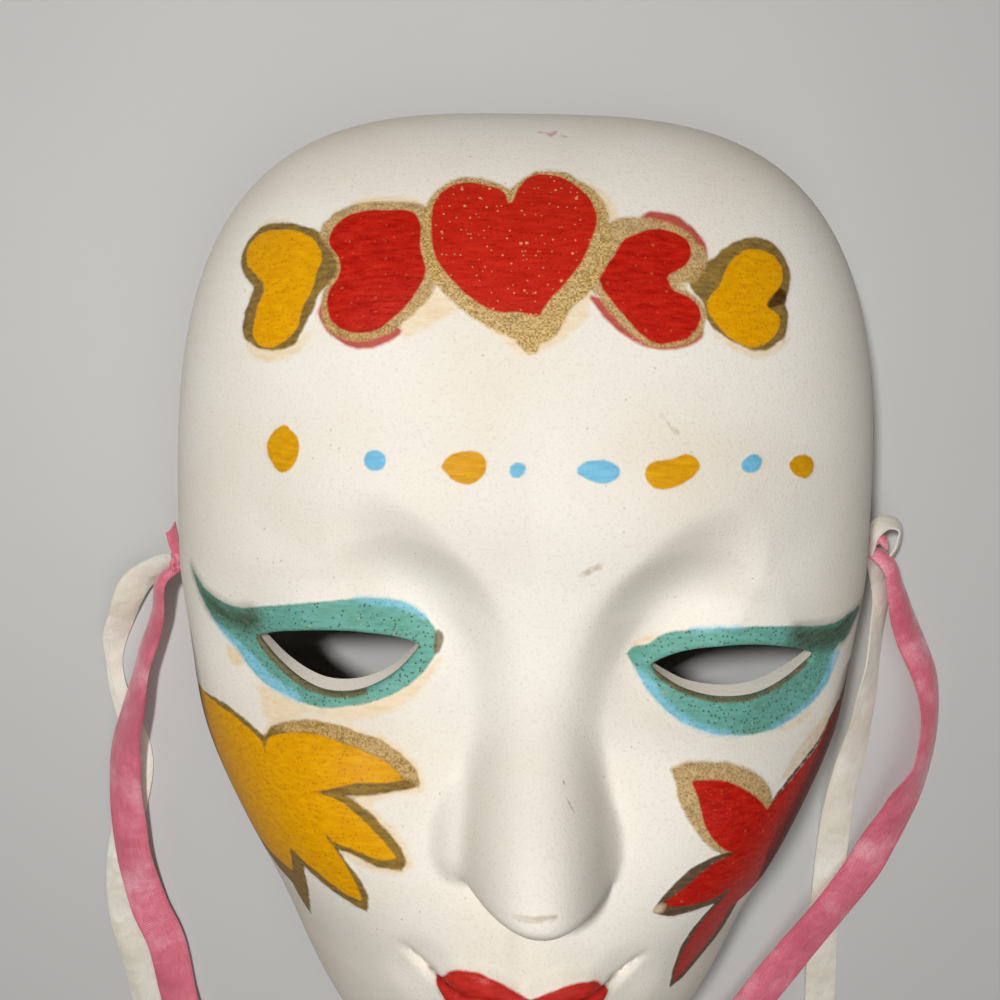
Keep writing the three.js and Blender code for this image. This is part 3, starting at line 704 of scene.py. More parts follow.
def under(points):
    """Place on the inner surface below a place of the outer surface."""
    flat, up = dome_normal(points)
    level = rim_level(*points.T)
    inner = points - WALL * flat
    steep = dome(np.minimum(level, 1)) - WALL * up
    share = smooth(level, 0.88, 0.95)
    height = inside_height(*inner.T) * (1 - share) + steep * share
    return np.column_stack([inner, np.maximum(height, 0)])


def sheet_mesh(spacing, loops, rings):
    """Triangles over the sheet, without the holes: the places, the triangles, and where each loop starts."""
    fixed = np.vstack(loops + rings)
    tree = KDTree(len(fixed))
    for i, (x, y) in enumerate(fixed):
        tree.insert((x, y, 0), i)
    tree.balance()
    low, high = loops[0].min(0), loops[0].max(0)
    rows = np.arange(low[1], high[1], spacing * math.sqrt(0.75))
    columns = np.arange(low[0], high[0], spacing)
    grid = np.array([(x + (i % 2) * spacing / 2, y) for i, y in enumerate(rows) for x in columns])
    inside = signed_distance(grid, loops[0]) < -0.55 * spacing
    for loop in loops[1:]:
        inside &= signed_distance(grid, loop) > 0.3 * spacing
    grid = grid[inside]
    near = np.array([tree.find((x, y, 0))[2] for x, y in grid])
    places = np.vstack([fixed, grid[near > 0.6 * spacing]])
    sizes = [len(loop) for loop in loops]
    starts = np.cumsum([0] + sizes)
    edges = [(a + i, a + (i + 1) % n) for a, n in zip(starts, sizes) for i in range(n)]
    made = delaunay_2d_cdt([Vector(p) for p in places.tolist()], edges, [], 0, 1e-7)
    if len(made[0]) != len(places):
        raise ValueError("the sheet's points met each other")
    triangles = np.array([ids[0] for ids in made[3]])[np.array(made[2], int)]
    owner = np.full(len(places), -1)
    owner[:starts[-1]] = np.repeat(np.arange(len(loops)), sizes)
    held = owner[triangles]
    in_a_hole = (held[:, 0] >= 0) & (held == held[:, :1]).all(axis=1)
    return places, triangles[~in_a_hole], starts


def away(places, a, b):
    """Distance to the straight piece between two points."""
    d = b - a
    t = np.clip(((places - a) @ d) / max(d @ d, 1e-18), 0, 1)
    return np.hypot(*(places - a - t[:, None] * d).T)


def signed_distance(places, outline):
    """Distance to a closed outline, negative inside it."""
    distance = np.full(len(places), 1e9)
    inside = np.zeros(len(places), bool)
    for a, b in zip(outline, np.roll(outline, -1, axis=0)):
        distance = np.minimum(distance, away(places, a, b))
        spans = (places[:, 1] < a[1]) != (places[:, 1] < b[1])
        if spans.any():
            cross = a[0] + (places[:, 1] - a[1]) * (b[0] - a[0]) / (b[1] - a[1])
            inside ^= spans & (places[:, 0] < cross)
    return np.where(inside, -distance, distance)


def offset_rings(loop, distances):
    """Rings round a hole of the plan, whose line turns left, mapped to the sheet."""
    step = np.roll(loop, -1, axis=0) - np.roll(loop, 1, axis=0)
    normals = unit(np.column_stack([step[:, 1], -step[:, 0]]))
    return [to_sheet(loop + normals * d) for d in distances]


def shrunk(loop, distance):
    """The rim's loop on the sheet, moved towards the middle."""
    return loop - unit(loop - MIDDLE) * distance


def outer_surface():
    """Places, triangles and loop starts of the outer surface, with its edges rounded."""
    rim = rim_loop()
    eyes = [eye_loop(eye) for eye in EYES]
    loops = [MIDDLE + (rim - MIDDLE) * ROLL_OUT] + [to_sheet(loop) for loop in eyes]
    loops += [temple_loop(side, y) for side, y in TEMPLES]
    rings = [shrunk(loops[0], d) for d in RIM_RINGS]
    for loop in eyes:
        rings += offset_rings(loop, LID_RINGS)
    for side, y in TEMPLES:
        rings += [temple_loop(side, y, d) for d in HOLE_RINGS]
    places, triangles, starts = sheet_mesh(OUTER_SPACING, loops, rings)
    points = from_sheet(places)
    points[:RIM_POINTS] = rim
    heights = face_height(*points.T)
    heights[:RIM_POINTS] = 0
    heights[starts[1]:starts[1 + len(EYES)]] -= LID_ROUND
    at = starts[-1] + len(RIM_RINGS) * RIM_POINTS
    drops = np.tile(np.repeat(rounding(LID_RINGS, LID_ROUND), EYE_POINTS), len(EYES))
    heights[at:at + len(drops)] -= drops
    middle_ray = points - MIDDLE
    reach = np.linalg.norm(middle_ray, axis=1)
    back = np.where(heights < RIM_ROUND, rounding(heights, RIM_ROUND), 0)
    points = MIDDLE + middle_ray * (1 - back / np.maximum(reach, 1))[:, None]
    return places, np.column_stack([points, heights]), triangles, starts


def inner_surface():
    """The same for the inner surface, one wall inside the outer one."""
    rim = rim_loop()
    loops = [MIDDLE + (rim - MIDDLE) * ROLL_OUT]
    for centre, half_length, rise, drop in EYES:
        target = eye_loop((centre, half_length, rise, drop - LOWER_LID_SLOPE), -EYE_TAPER)
        source = target
        for _ in range(6):
            source = target + WALL * dome_normal(source)[0]
        loops.append(to_sheet(source))
    loops += [temple_loop(side, y) for side, y in TEMPLES]
    places, triangles, starts = sheet_mesh(INNER_SPACING, loops, [shrunk(loops[0], 0.8)])
    points = from_sheet(places)
    points[:RIM_POINTS] = rim
    inner = under(points)
    inner[:RIM_POINTS, 2] = 0
    return inner, triangles[:, ::-1], starts


def bridge(points, first, second, shares):
    """Wall between two loops of the same length, first one then the other: its new points and triangles."""
    a, b = points[first], points[second]
    new = [len(points) + i * len(a) + np.arange(len(a)) for i in range(len(shares))]
    rows = [first, *new, second]
    faces = []
    for upper, lower in zip(rows, rows[1:]):
        next_lower = np.roll(lower, -1)
        faces += [np.column_stack([upper, np.roll(upper, -1), next_lower]),
                  np.column_stack([upper, next_lower, lower])]
    return np.vstack([a + (b - a) * share for share in shares]), np.vstack(faces)


def shell():
    """The whole shell as one closed mesh: points, triangles, and the sheet places of the outer points."""
    places, outer, outer_faces, starts = outer_surface()
    inner, inner_faces, inner_starts = inner_surface()
    points = np.vstack([outer, inner])
    faces = [outer_faces, inner_faces + len(outer)]
    for k in range(len(starts) - 1):
        first = np.arange(starts[k], starts[k + 1])
        second = np.arange(inner_starts[k], inner_starts[k + 1]) + len(outer)
        added, wall = bridge(points, first, second, [0.06, 0.3, 0.7, 0.94] if k else [0.1, 0.9])
        points = np.vstack([points, added])
        faces.append(wall[:, ::-1] if k == 0 else wall)
    return places, points, np.vstack(faces)


# Painted ornament, coat by coat. Its outlines are points read off the photograph, in pixels, and
# cast on the face from the camera's place. An outline is one smooth closed curve through its points, or a
# list of smooth arcs that meet at corners, where each later arc starts from the last point before it.
PHOTO_SIZE = 1000
PHOTO_MIDDLE = PHOTO_SIZE / 2
PHOTO_FOCUS = CAMERA_LENS / SENSOR_WIDTH * PHOTO_SIZE
CAST_REACH = (120, 330)
OUTLINE_STEP = 0.5
SIDE_STEP = 0.6
NEAR_LINE = 2.5
FAR_OFF = 9.0
HEART_SPOT = [(676, 285), (682, 282), (688, 286), (685, 291), (679, 289)]

OUTLINES = {
    "halo": [
        [(400, 338), (424, 330), (447, 316), (457, 309), (436, 290), (414, 300)],
        [(480, 322), (505, 340), (524, 357), (540, 352), (566, 338), (586, 318), (592, 292), (560, 300),
         (520, 325)],
        [(588, 183), (602, 190), (614, 205), (616, 222), (604, 218), (594, 200)],
        [(247, 340), (252, 356), (271, 362), (297, 354), (312, 330), (296, 340), (270, 348)],
        [(706, 326), (722, 341), (745, 355), (765, 357), (783, 348), (790, 336), (770, 346), (740, 345)],
        [(352, 203), (375, 197), (402, 197), (422, 203), (400, 206), (372, 206)],
        [(256, 231), (266, 221), (282, 220), (292, 225), (274, 226)],
        HEART_SPOT,
        [(262, 734), (272, 722), (300, 716), (330, 720), (362, 729), (392, 742), (412, 758), (424, 776),
         (424, 790), (404, 794), (372, 804), (392, 826), (408, 850), (412, 868), (400, 874), (372, 870),
         (352, 862), (340, 850), (300, 800), (266, 750)],
        [(250, 682), (258, 690), (268, 722), (288, 718), (306, 714), (334, 718), (362, 719), (390, 712),
         (410, 700), (426, 684), (440, 665), (442, 656), (430, 664), (400, 690), (350, 706), (300, 702),
         (268, 688)],
        [(632, 646), (640, 638), (652, 634), (664, 633), (650, 643), (640, 646)],
        [(778, 728), (792, 722), (806, 710), (814, 706), (808, 716), (796, 726), (784, 731)]],
    "ochre": [[(227, 645), (238, 650), (244, 660), (238, 666), (229, 658)]],
    "rim": [
        [(326, 300), (318, 311), (325, 328), (342, 343), (361, 349), (383, 345), (402, 331), (380, 320)],
        [(590, 296), (603, 316), (623, 335), (643, 346), (666, 350), (690, 346), (704, 334), (700, 322),
         (670, 339), (640, 337), (618, 318), (604, 300)],
        [(640, 218), (644, 214), (660, 212), (677, 216), (693, 228), (706, 246), (706, 256), (690, 240),
         (672, 228), (655, 222)]],
    "olive": [
        [[(254, 288), (244, 274), (241, 262), (246, 245), (259, 229), (279, 223), (304, 226), (318, 231),
         (329, 243), (339, 262), (338, 276), (327, 286), (319, 296), (312, 312), (304, 328), (294, 344),
         (281, 350)], [(262, 349), (247, 341), (243, 330), (246, 308)]],
        [(785, 302), (789, 290), (790, 273), (783, 255), (771, 242), (756, 237), (742, 239), (726, 247),
         (713, 258), (700, 266), (689, 277), (691, 290), (703, 303), (708, 323), (723, 335), (740, 345),
         (757, 351), (774, 346), (786, 333), (788, 316)],
        [[(289, 846), (300, 860), (307, 885), (311, 914)], [(301, 898), (293, 882), (288, 866)]]],
    "side_gold": [
        [(337, 273), (333, 254), (319, 234), (332, 215), (353, 205), (378, 202), (400, 202), (424, 206),
         (436, 226), (442, 250), (440, 276), (430, 296), (414, 314), (396, 329), (374, 339), (351, 340),
         (331, 332), (322, 316), (322, 292)],
        [(583, 283), (596, 262), (604, 238), (611, 222), (627, 217), (647, 218), (667, 222), (684, 229),
         (697, 242), (707, 254), (705, 270), (694, 282), (684, 285), (696, 296), (706, 312), (704, 330),
         (690, 343), (667, 348), (645, 344), (626, 330), (608, 310), (596, 294)],
        [[(271, 728), (288, 722), (312, 720), (335, 725), (362, 734), (387, 745), (406, 760), (418, 774),
         (419, 785)], [(405, 779), (386, 762), (362, 750), (334, 740), (310, 733), (288, 733)]],
        [[(669, 767), (687, 762), (712, 761), (734, 764), (755, 773), (768, 785), (774, 803), (771, 816)],
         [(760, 840), (742, 856), (724, 856), (709, 846), (697, 833), (687, 818), (679, 800), (675, 782)]]],
    "brown": [
        [[(652, 913), (657, 904), (679, 879), (702, 862), (724, 853), (748, 851)], [(742, 876), (719, 900),
         (698, 909), (671, 917)]],
        [[(669, 988), (673, 969), (683, 943), (701, 918), (719, 899), (746, 868)], [(742, 892), (727, 920),
         (718, 934), (702, 954), (682, 978)]],
        [(763, 308), (773, 297), (777, 287), (785, 291), (786, 303), (778, 306)]],
    "amber": [
        [(264, 286), (257, 276), (247, 263), (249, 246), (261, 234), (278, 230), (297, 231), (314, 240),
         (322, 256), (317, 272), (312, 290), (303, 306), (297, 328), (282, 343), (264, 347), (253, 337),
         (256, 312)],
        [(766, 305), (772, 296), (780, 286), (783, 272), (777, 259), (765, 251), (750, 249), (736, 256),
         (726, 270), (719, 286), (707, 302), (710, 315), (720, 328), (733, 339), (748, 347), (763, 345),
         (776, 333), (780, 317)]],
    "red": [
        [(340, 273), (338, 257), (329, 243), (334, 227), (347, 216), (364, 211), (388, 210), (413, 212),
         (421, 225), (420, 247), (426, 270), (416, 293), (398, 314), (378, 329), (357, 333), (337, 326),
         (328, 312), (328, 294)],
        [[(598, 278), (606, 266), (615, 254), (624, 240), (640, 232), (659, 229), (680, 235), (689, 244),
         (691, 255), (686, 265), (676, 271)], [(669, 274), (667, 278)], [(674, 290), (690, 297), (700, 310),
         (700, 323), (689, 337), (669, 343), (652, 342), (637, 330), (625, 317), (612, 301), (603, 290)]],
        [[(692, 781), (718, 780), (742, 788), (760, 800), (770, 815)], [(762, 840), (748, 852), (727, 851),
         (708, 831), (700, 807)]],
        [[(661, 905), (687, 886), (718, 861), (750, 850)], [(740, 878), (718, 896), (681, 907)]],
        [[(672, 983), (678, 962), (688, 942), (705, 918), (722, 900), (748, 866)], [(738, 895), (724, 918),
         (714, 934), (699, 953), (682, 973)]]],
    "centre_gold": [
        [[(510, 189), (496, 183), (478, 178), (457, 179), (441, 187), (429, 199), (423, 213), (422, 235),
         (424, 258), (431, 278), (443, 292), (465, 313), (491, 329), (512, 338), (521, 347)], [(528, 355),
         (536, 353)], [(541, 344), (550, 341), (562, 326), (571, 310), (588, 293), (602, 273), (611, 250),
         (610, 222), (606, 206), (597, 194), (582, 182), (562, 172), (541, 171), (523, 178)]]],
    "centre_red": [
        [[(510, 206), (503, 191), (488, 186), (467, 182), (447, 188), (434, 203), (431, 226), (434, 252),
         (445, 272), (463, 291), (481, 305), (499, 312), (518, 312)], [(529, 314), (538, 317)], [(552, 298),
         (568, 280), (582, 261), (591, 241), (597, 218), (592, 202), (578, 187), (560, 177), (541, 174),
         (526, 179), (517, 191)]]],
    "cream": [
        [(652, 912), (656, 906), (663, 903), (665, 907), (659, 913)],
        [(780, 783), (792, 758), (806, 738), (820, 721), (830, 706), (826, 726), (812, 747), (796, 767)],
        HEART_SPOT],
    "dots": [
        [(286, 424), (291, 430), (297, 436), (299, 448), (296, 461), (288, 471), (279, 472), (272, 463),
         (267, 452), (268, 440), (275, 430)],
        [(441, 467), (450, 456), (463, 451), (477, 452), (486, 459), (486, 470), (479, 480), (467, 485),
         (454, 481), (447, 474)],
        [(645, 475), (648, 465), (659, 460), (672, 459), (686, 454), (696, 458), (700, 466), (695, 475),
         (682, 484), (667, 489), (653, 487)],
        [(789, 464), (795, 457), (806, 455), (813, 460), (813, 470), (807, 478), (799, 477), (792, 472)]],
    "blue": [
        [(364, 461), (368, 452), (376, 450), (384, 454), (386, 462), (382, 469), (374, 471), (367, 468)],
        [(575, 471), (584, 463), (598, 460), (611, 462), (620, 470), (619, 477), (609, 483), (594, 482),
         (582, 477)],
        [(741, 464), (747, 457), (754, 454), (761, 457), (762, 464), (757, 471), (749, 473), (743, 470)],
        [(509, 471), (512, 464), (518, 462), (525, 465), (526, 471), (522, 476), (516, 478), (511, 476)]],
    "teal": [
        [(192, 565), (199, 590), (209, 611), (220, 628), (237, 647), (249, 666), (264, 682), (283, 693),
         (303, 703), (326, 708), (348, 706), (371, 702), (395, 693), (416, 679), (430, 664), (437, 648),
         (436, 631), (427, 618), (410, 605), (390, 600), (364, 598), (337, 600), (295, 604), (264, 606),
         (238, 607), (218, 599), (203, 586)],
        [[(626, 653), (633, 647), (648, 644)], [(663, 634), (687, 630), (717, 628), (744, 627), (773, 626),
         (802, 626), (817, 626), (838, 621), (848, 614), (861, 603)], [(855, 619), (847, 636), (837, 646),
         (832, 657), (829, 676), (818, 694), (801, 711), (779, 726), (756, 734), (729, 735), (702, 730),
         (681, 721), (663, 707), (648, 690), (638, 673), (631, 662)]]],
    "tail": [
        [(192, 565), (199, 590), (209, 611), (223, 622), (248, 633), (262, 622), (254, 608), (236, 607),
         (218, 599), (203, 586)],
        [(795, 627), (817, 626), (838, 621), (848, 614), (861, 603), (855, 619), (847, 636), (837, 646),
         (820, 652), (800, 651), (790, 640)]],
    "sky": [
        [(352, 598), (372, 597), (392, 599), (410, 603), (424, 613), (430, 622), (414, 614), (394, 608),
         (372, 604)],
        [(205, 607), (219, 630), (237, 650), (250, 668), (266, 684), (285, 696), (304, 704), (296, 692),
         (272, 676), (253, 655), (233, 636), (218, 622)],
        [(634, 666), (648, 691), (664, 709), (682, 723), (702, 732), (729, 737), (744, 736), (720, 729),
         (696, 721), (676, 708), (659, 690), (646, 674)],
        [(832, 652), (840, 650), (834, 668), (826, 686), (812, 703), (790, 721), (764, 733), (784, 718),
         (806, 702), (820, 684), (827, 668)],
        [(690, 629), (718, 627), (744, 626), (744, 629), (718, 631), (696, 632)]],
    "lid": [[(434, 631), (440, 630), (444, 637), (441, 648), (436, 656), (433, 648), (435, 640)]],
}

# Outlines that leave the view at the silhouette and go on by places of the sheet
ROUND_THE_SIDE = {
    "olive": (
        [[(196, 678), (218, 699), (237, 712), (252, 725), (265, 736)], [(271, 727), (288, 722), (312, 720),
         (335, 725), (362, 734), (387, 745), (406, 760), (418, 774), (420, 786)], [(405, 790), (371, 795),
         (346, 796)], [(366, 809), (385, 828), (400, 847), (407, 863), (402, 871)], [(377, 867), (354, 855),
         (337, 848)], [(348, 864), (360, 878), (368, 898), (368, 912)], [(350, 903), (333, 891), (317, 878),
         (304, 866)], [(308, 885), (311, 914)], [(300, 897), (291, 880)]],
        [(-57, -45), (-66, -36), (-73, -22), (-74, -12)]),
    "amber": (
        [[(203, 690), (219, 705), (237, 718), (252, 731), (262, 742), (266, 758)], [(267, 740), (288, 733),
         (310, 733), (334, 740), (362, 750), (386, 762), (405, 779)], [(388, 783), (357, 783), (334, 788),
         (312, 792)], [(340, 801), (361, 818), (381, 839), (397, 859)], [(379, 860), (357, 851), (334, 841),
         (320, 830)], [(334, 848), (346, 866), (357, 885), (362, 902)], [(344, 893), (322, 876), (303, 860),
         (289, 846)], [(291, 858), (294, 873)]],
        [(-56, -43), (-64, -34), (-70.5, -22), (-71, -15)]),
    "red": (
        [[(729, 908), (735, 890), (746, 852), (769, 808), (786, 786), (804, 763), (818, 744), (828, 724),
         (837, 704)]],
        [(78, -9), (80, -22), (74, -36), (64, -46), (56, -50), (49, -49)]),
}

# Strokes of a narrow brush and worn places, with their half widths in millimetres
STROKES = {
    "brown": [
        ([(770, 812), (774, 801), (786, 784), (804, 761), (818, 742), (828, 722), (838, 701)], 0.5)],
    "marks": [
        ([(540, 132), (551, 135)], 0.4),
        ([(551, 136), (556, 131)], 0.3),
        ([(562, 136), (565, 137)], 0.4)],
    "scuff": [
        ([(660, 414), (679, 435)], 0.25),
        ([(582, 575), (600, 566)], 0.5),
        ([(515, 917), (555, 917)], 0.4)],
    "stroke": [
        ([(840, 626), (853, 613)], 0.3),
        ([(846, 620), (858, 606)], 0.25),
        ([(836, 631), (843, 624)], 0.25),
        ([(533, 777), (533, 786)], 0.02),
        ([(563, 779), (567, 797)], 0.06),
        ([(567, 797), (573, 811)], 0.03),
        ([(573, 811), (577, 827)], 0.06),
        ([(471, 837), (468, 852)], 0.03)],
}

# Painted shade: dark brown along the sides of the face where they turn from the light, by places of the
# sheet, with its half width
PAINTED_SIDE_SHADE = [([(76, -10), (70, -19), (62, -28), (56, -34), (52, -40), (50, -46)], 4.2),
          ([(-76, -6), (-72, -16), (-69, -26), (-64, -36)], 0.5)]

# The upper lip's edge from corner to corner of the mouth, by pixels; the lower one is the solid's own
UPPER_LIP = [[(436, 975), (451, 971), (468, 971), (486, 976), (506, 986), (523, 995), (530, 1000)],
             [(543, 995), (564, 987), (584, 982), (596, 981), (606, 984)]]


def cast(pixels):
    """Places in the plan that pixels of the photograph show, where its rays meet or nearly meet the face."""
    turn = np.array(bpy.context.scene.camera.matrix_world.to_3x3())
    flat = (np.asarray(pixels, float) - PHOTO_MIDDLE) / PHOTO_FOCUS
    rays = np.column_stack([flat[:, 0], -flat[:, 1], -np.ones(len(flat))]) @ turn.T
    reach = np.linspace(*CAST_REACH, 500)
    x, y, z = np.moveaxis(np.array(CAMERA_PLACE) + reach[:, None] * rays[:, None], 2, 0)
    above = np.where(rim_level(x, y) > 1, 1e3, z - face_height(x, y))
    met = above < 0
    first = np.where(met.any(axis=1), met.argmax(axis=1), above.argmin(axis=1))

    def inside(length):
        x, y, z = (np.array(CAMERA_PLACE) + length[:, None] * rays).T
        return z <= face_height(x, y)

    _, length = halved(reach[np.maximum(first - 1, 0)], reach[first], 16, inside)
    return (np.array(CAMERA_PLACE) + length[:, None] * rays)[:, :2]


def on_sheet(pixels, closed=False):
    """Smooth curve on the sheet through pixels of the photograph."""
    return smooth_curve(to_sheet(cast(pixels)), OUTLINE_STEP, closed)


def outline(arcs):
    """Closed outline on the sheet."""
    if isinstance(arcs[0], tuple):
        return on_sheet(arcs, closed=True)
    starts = [[]] + [arc[-1:] for arc in arcs]
    return np.vstack([on_sheet(start + arc)[:-1] for start, arc in zip(starts, arcs)])


def nearest(lines, measure):
    """Distance to the nearest of some lines, as measured at the places that lie near each of them."""
    distance = np.full(len(sheet_places), FAR_OFF)
    for line in lines:
        box = line[0] if isinstance(line, tuple) else line
        near = ((sheet_places > box.min(0) - NEAR_LINE) & (sheet_places < box.max(0) + NEAR_LINE)).all(axis=1)
        distance[near] = np.minimum(distance[near], measure(sheet_places[near], line))
    return distance


def off_stroke(places, stroke):
    """Distance to a stroke of the brush: its line and its half width."""
    line, half_width = stroke
    return np.min([away(places, a, b) for a, b in zip(line, line[1:])], axis=0) - half_width


def lip_curve(rows, reach):
    """A curve of the lips by its level beside the middle, on the sheet from one side to the other."""
    side = np.linspace(reach, -reach, 40)
    return to_sheet(np.column_stack([side + FACE_SHIFT, profile(np.abs(side), rows) - FACE_TILT * side]))


def lid_lines():
    """Thin brown lines along the lower lids: from the outer corner on the left, right along on the right."""
    left, right = (eye_loop(eye, 0.35) for eye in EYES)
    half = EYE_POINTS // 2
    return [(to_sheet(left[half - 4:half + 24]), 0.85), (to_sheet(left[half + 20:half + 48]), 0.5),
            (to_sheet(right[half + 2:-4]), 0.4)]


def paint_values():
    """Every coat of paint and of painted shade, as a distance at each point of the outer surface."""
    lines = {name: [outline(arcs) for arcs in outlines] for name, outlines in OUTLINES.items()}
    for name, (arcs, side) in ROUND_THE_SIDE.items():
        lines[name].append(np.vstack([outline(arcs), smooth_curve(side, SIDE_STEP)]))
    lines["lips"] = [np.vstack([outline(UPPER_LIP), lip_curve(LOWER_LIP_EDGE, 15.7)])]
    strokes = {name: [(on_sheet(line), half_width) for line, half_width in rows]
               for name, rows in STROKES.items()}
    strokes["lid"] = lid_lines()
    strokes["lip_line"] = [(lip_curve(LIP_LINE, 17), 0.45)]
    # Painted shade along the sides of the face
    strokes["shade"] = [(smooth_curve(line, 1.0), half_width) for line, half_width in PAINTED_SIDE_SHADE]
    values = {name: nearest(these, signed_distance) for name, these in lines.items()}
    for name, these in strokes.items():
        values[name] = np.minimum(values.get(name, FAR_OFF), nearest(these, off_stroke))
    # The foot: darker up to a level, partly soil and partly painted shade near the floor
    values["foot"] = shell_points[:len(sheet_places), 2] - FOOT_SOIL_AND_SHADE_LEVEL
    return values


# Bare bisque, and how high the foot is darkened, partly as soil and partly as painted shade near the floor
BISQUE_ROUGHNESS = 0.62
FOOT_SOIL_AND_SHADE_LEVEL = 1.4

# Coats of paint from the lowest up, with the painted shade and the foot's soil and painted shade among them:
# its value's name, two shades, softness and wobble of its edge in millimetres, how well it covers, its dark
# and bright flecks, and its roughness. Gold is all bright flecks, in grains of a size in metres.
COAT_EDGE = 0.5
ALL_FLECKS = 0.8
GRAIN = 0.0003
COATS = [
    ("halo", (240, 222, 188), (230, 200, 155), 0.45, 1.4, 0.75, 0.0, 0.0, 0.6),
    ("ochre", (238, 208, 156), (222, 182, 120), 0.5, 1.2, 0.6, 0.0, 0.0, 0.6),
    ("marks", (206, 130, 130), (186, 100, 104), 0.3, 1.6, 0.6, 0.0, 0.0, 0.6),
    ("rim", (198, 58, 44), (170, 44, 28), 0.3, 0.8, 0.93, 0.2, 0.1, 0.5),
    ("olive", (150, 116, 30), (102, 78, 20), 0.25, 0.9, 0.96, 0.4, 0.12, 0.5),
    ("side_gold", (196, 154, 94), (146, 108, 60), 0.3, 1.0, 0.93, 0.0, 0.85, 0.45),
    ("brown", (98, 66, 26), (56, 36, 16), 0.2, 0.6, 0.95, 0.3, 0.25, 0.5),
    ("amber", (232, 167, 0), (216, 146, 0), 0.2, 0.7, 1.0, 0.26, 0.05, 0.5),
    ("red", (202, 36, 20), (166, 18, 8), 0.2, 0.6, 1.0, 0.3, 0.1, 0.42),
    ("centre_gold", (200, 152, 76), (150, 106, 44), 0.3, 1.0, 0.95, 0.0, 1.0, 0.42),
    ("centre_red", (204, 42, 24), (180, 30, 16), 0.2, 0.5, 1.0, 0.3, 0.5, 0.36),
    # Painted shade over the paint where the side of the face turns from the light
    ("shade", (76, 22, 12), (46, 16, 10), 3.0, 1.4, 0.86, 0.2, 0.1, 0.5),
    ("cream", (240, 222, 190), (222, 190, 150), 0.35, 1.2, 0.7, 0.0, 0.0, 0.55),
    ("dots", (226, 166, 12), (204, 140, 6), 0.18, 0.5, 1.0, 0.0, 0.0, 0.5),
    ("blue", (124, 192, 222), (106, 176, 206), 0.18, 0.5, 1.0, 0.0, 0.0, 0.45),
    ("teal", (106, 172, 160), (88, 152, 132), 0.22, 0.5, 0.97, 0.75, 0.2, 0.5),
    ("sky", (150, 208, 232), (120, 190, 214), 0.45, 1.0, 0.75, 0.2, 0.1, 0.5),
    ("tail", (78, 92, 68), (56, 68, 48), 1.8, 1.4, 0.85, 0.4, 0.1, 0.5),
    ("lid", (122, 100, 56), (90, 76, 42), 0.25, 0.5, 0.85, 0.3, 0.2, 0.5),
    ("lips", (204, 52, 42), (178, 38, 32), 0.2, 0.5, 1.0, 0.1, 0.0, 0.34),
    ("lip_line", (128, 26, 22), (108, 20, 18), 0.3, 0.4, 0.6, 0.0, 0.0, 0.4),
    ("scuff", (184, 162, 132), (156, 138, 112), 0.25, 1.2, 0.55, 0.0, 0.0, 0.6),
    ("stroke", (52, 50, 40), (40, 40, 34), 0.15, 0.4, 0.9, 0.0, 0.0, 0.5),
    # The foot: soil and painted shade near the floor
    ("foot", (172, 162, 146), (140, 130, 114), 1.6, 1.6, 0.7, 0.0, 0.0, 0.6),
]


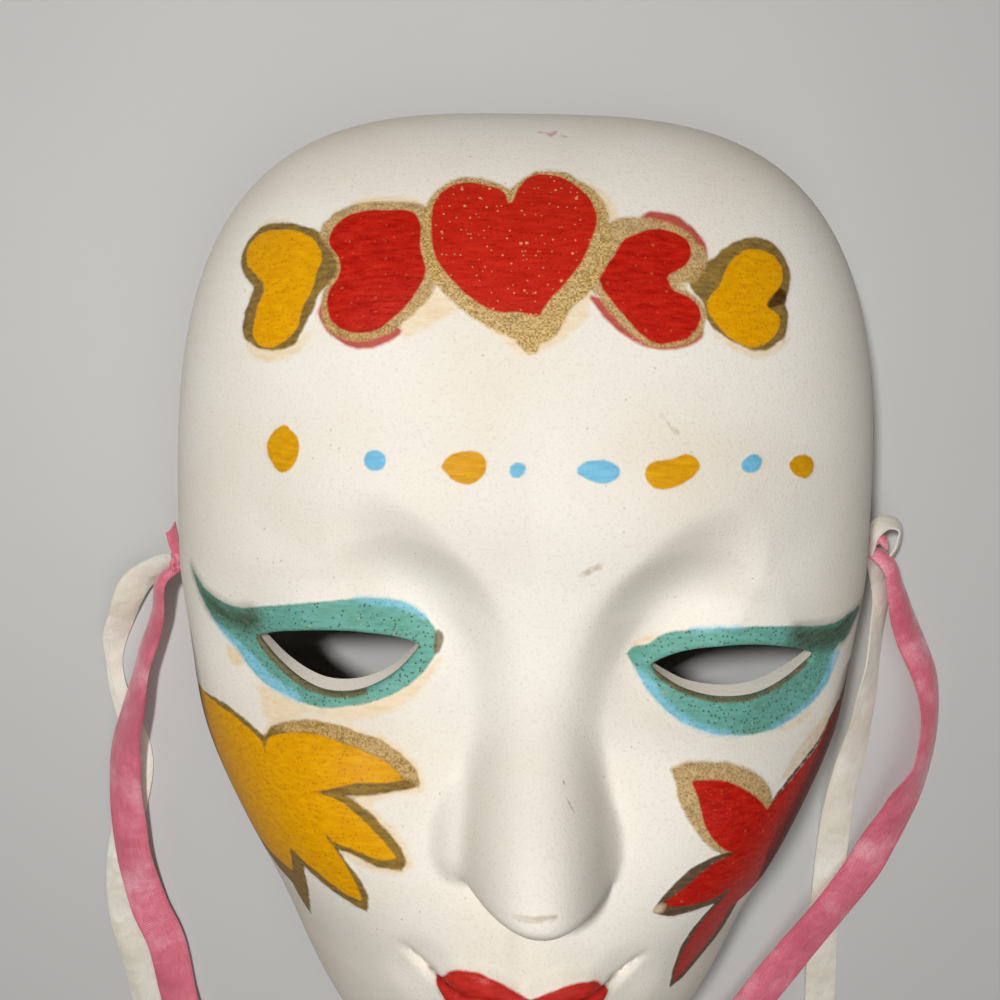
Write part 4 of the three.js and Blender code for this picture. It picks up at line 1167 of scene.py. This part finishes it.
def painted_bisque():
    """White bisque with a hand-painted finish, glitter in its gold, the dirt of handling, and painted shade
    along the sides and the foot.
    """
    finish = Finish("painted_bisque")
    grain = finish.noise(1800, 3)
    clouds = finish.noise(28, 3)
    brush = finish.node("ShaderNodeMapping", {"Vector": finish.place, "Rotation": (0.3, 0.2, 0.7),
                                              "Scale": (260, 1300, 900)}).outputs[0]
    strokes = finish.noise(1.0, 3, brush)
    wobble = finish.math("SUBTRACT", finish.noise(420, 3), 0.5)
    colour = finish.mix(finish.spread(clouds, 0.35, 0.7), linear(240, 234, 223), linear(233, 223, 206))
    colour = finish.mix(finish.spread(grain, 0.52, 0.72, 0, 0.3), colour, linear(208, 194, 170))
    large, small = finish.cells(620), finish.cells(1400)
    dirt = finish.math("MAXIMUM", finish.specks(large, 0, 0.16, 0.05), finish.specks(small, 0, 0.2, 0.06))
    colour = finish.mix(finish.math("MULTIPLY", dirt, 0.3), colour, linear(132, 112, 86))
    rubbed = finish.math("MULTIPLY", finish.spread(finish.noise(95, 5, roughness=0.7), 0.66, 0.78), 0.3)
    colour = finish.mix(rubbed, colour, linear(200, 180, 150))
    grains = finish.node("ShaderNodeVectorMath", {0: finish.place, 1: (GRAIN,) * 3}, operation="SNAP")
    glint = finish.node("ShaderNodeTexWhiteNoise", {"Vector": grains.outputs[0]}).outputs["Value"]
    gold_light, gold_dark = linear(252, 226, 156), linear(112, 84, 38)
    flecks = finish.math("MAXIMUM", finish.specks(large, 1, 0.22, 0.2), finish.specks(small, 1, 0.3, 0.2))
    dark_flecks = finish.specks(small, 2, 0.34, 0.7)
    shades = finish.spread(strokes, 0.3, 0.7)
    for name, first, second, soft, sway, covers, dark, bright, _ in COATS:
        edge = finish.math("MULTIPLY_ADD", wobble, sway, finish.attribute(name))
        paint = finish.mix(shades, linear(*second), linear(*first))
        if bright > ALL_FLECKS:
            paint = finish.mix(bright - 0.5, paint, finish.mix(glint, gold_dark, gold_light))
        elif bright:
            paint = finish.mix(finish.math("MULTIPLY", flecks, bright), paint, linear(240, 196, 130))
        if dark:
            shadow = linear(*[0.4 * k for k in second])
            paint = finish.mix(finish.math("MULTIPLY", dark_flecks, dark), paint, shadow)
        colour = finish.mix(finish.spread(edge, soft, -soft, 0, covers), colour, paint)
    layer = finish.math("MULTIPLY", finish.attribute("coated"), finish.math("ADD", strokes, 1.0))
    relief = finish.bump(finish.math("ADD", layer, grain), 0.00008)
    finish.shade(Base_Color=colour, Roughness=finish.attribute("roughness"), Normal=relief,
                 Specular_IOR_Level=0.12)
    return finish.material


sheet_places, shell_points, shell_faces = shell()
coats = {name: np.concatenate([distance, np.full(len(shell_points) - len(distance), FAR_OFF)])
         for name, distance in paint_values().items()}
coats["roughness"] = np.full(len(shell_points), BISQUE_ROUGHNESS)
for name, *_, roughness in COATS:
    coats["roughness"][coats[name] < 0] = roughness
thick = [coats[name] for name, _, _, _, _, covers, *_ in COATS if covers > 0.9]
coats["coated"] = np.clip(0.5 - np.min(thick, axis=0) / COAT_EDGE, 0, 1)
mask = mesh_object("mask_face", shell_points, shell_faces, painted_bisque(), "mask", coats)


# The room: the camera's own lamp above the forehead, a broad weak light, some light all round, and a floor
ROOM_LIGHT = 0.16
FLOOR_REACH = 2


def area_light(name, place, target, size, power):
    light = bpy.data.lights.new(name, "AREA")
    light.size = size
    light.energy = power
    lamp = in_scene(name, light)
    lamp.location = place
    lamp.rotation_euler = (Vector(target) - Vector(place)).to_track_quat("-Z", "Y").to_euler()


def floor_finish():
    finish = Finish("floor")
    tone = finish.mix(finish.noise(9, 4), linear(196, 195, 193), linear(204, 203, 200))
    finish.shade(Base_Color=tone, Roughness=0.8)
    return finish.material


area_light("key", (-0.09, 0.14, 0.43), (0, -0.012, 0.03), 0.04, 1.42)
area_light("fill", (0.25, -0.3, 0.8), (0, 0, 0), 0.8, 2.2)
world = bpy.data.worlds.new("studio")
bpy.context.scene.world = world
world.use_nodes = True
world.node_tree.nodes["Background"].inputs["Strength"].default_value = ROOM_LIGHT
bpy.context.scene.view_settings.view_transform = "Standard"

floor_mesh = bpy.data.meshes.new("floor")
corners = [(x * FLOOR_REACH, y * FLOOR_REACH, 0) for x, y in ((-1, -1), (1, -1), (1, 1), (-1, 1))]
floor_mesh.from_pydata(corners, [], [(0, 1, 2, 3)])
floor = in_scene("floor", floor_mesh)
floor_mesh.materials.append(floor_finish())
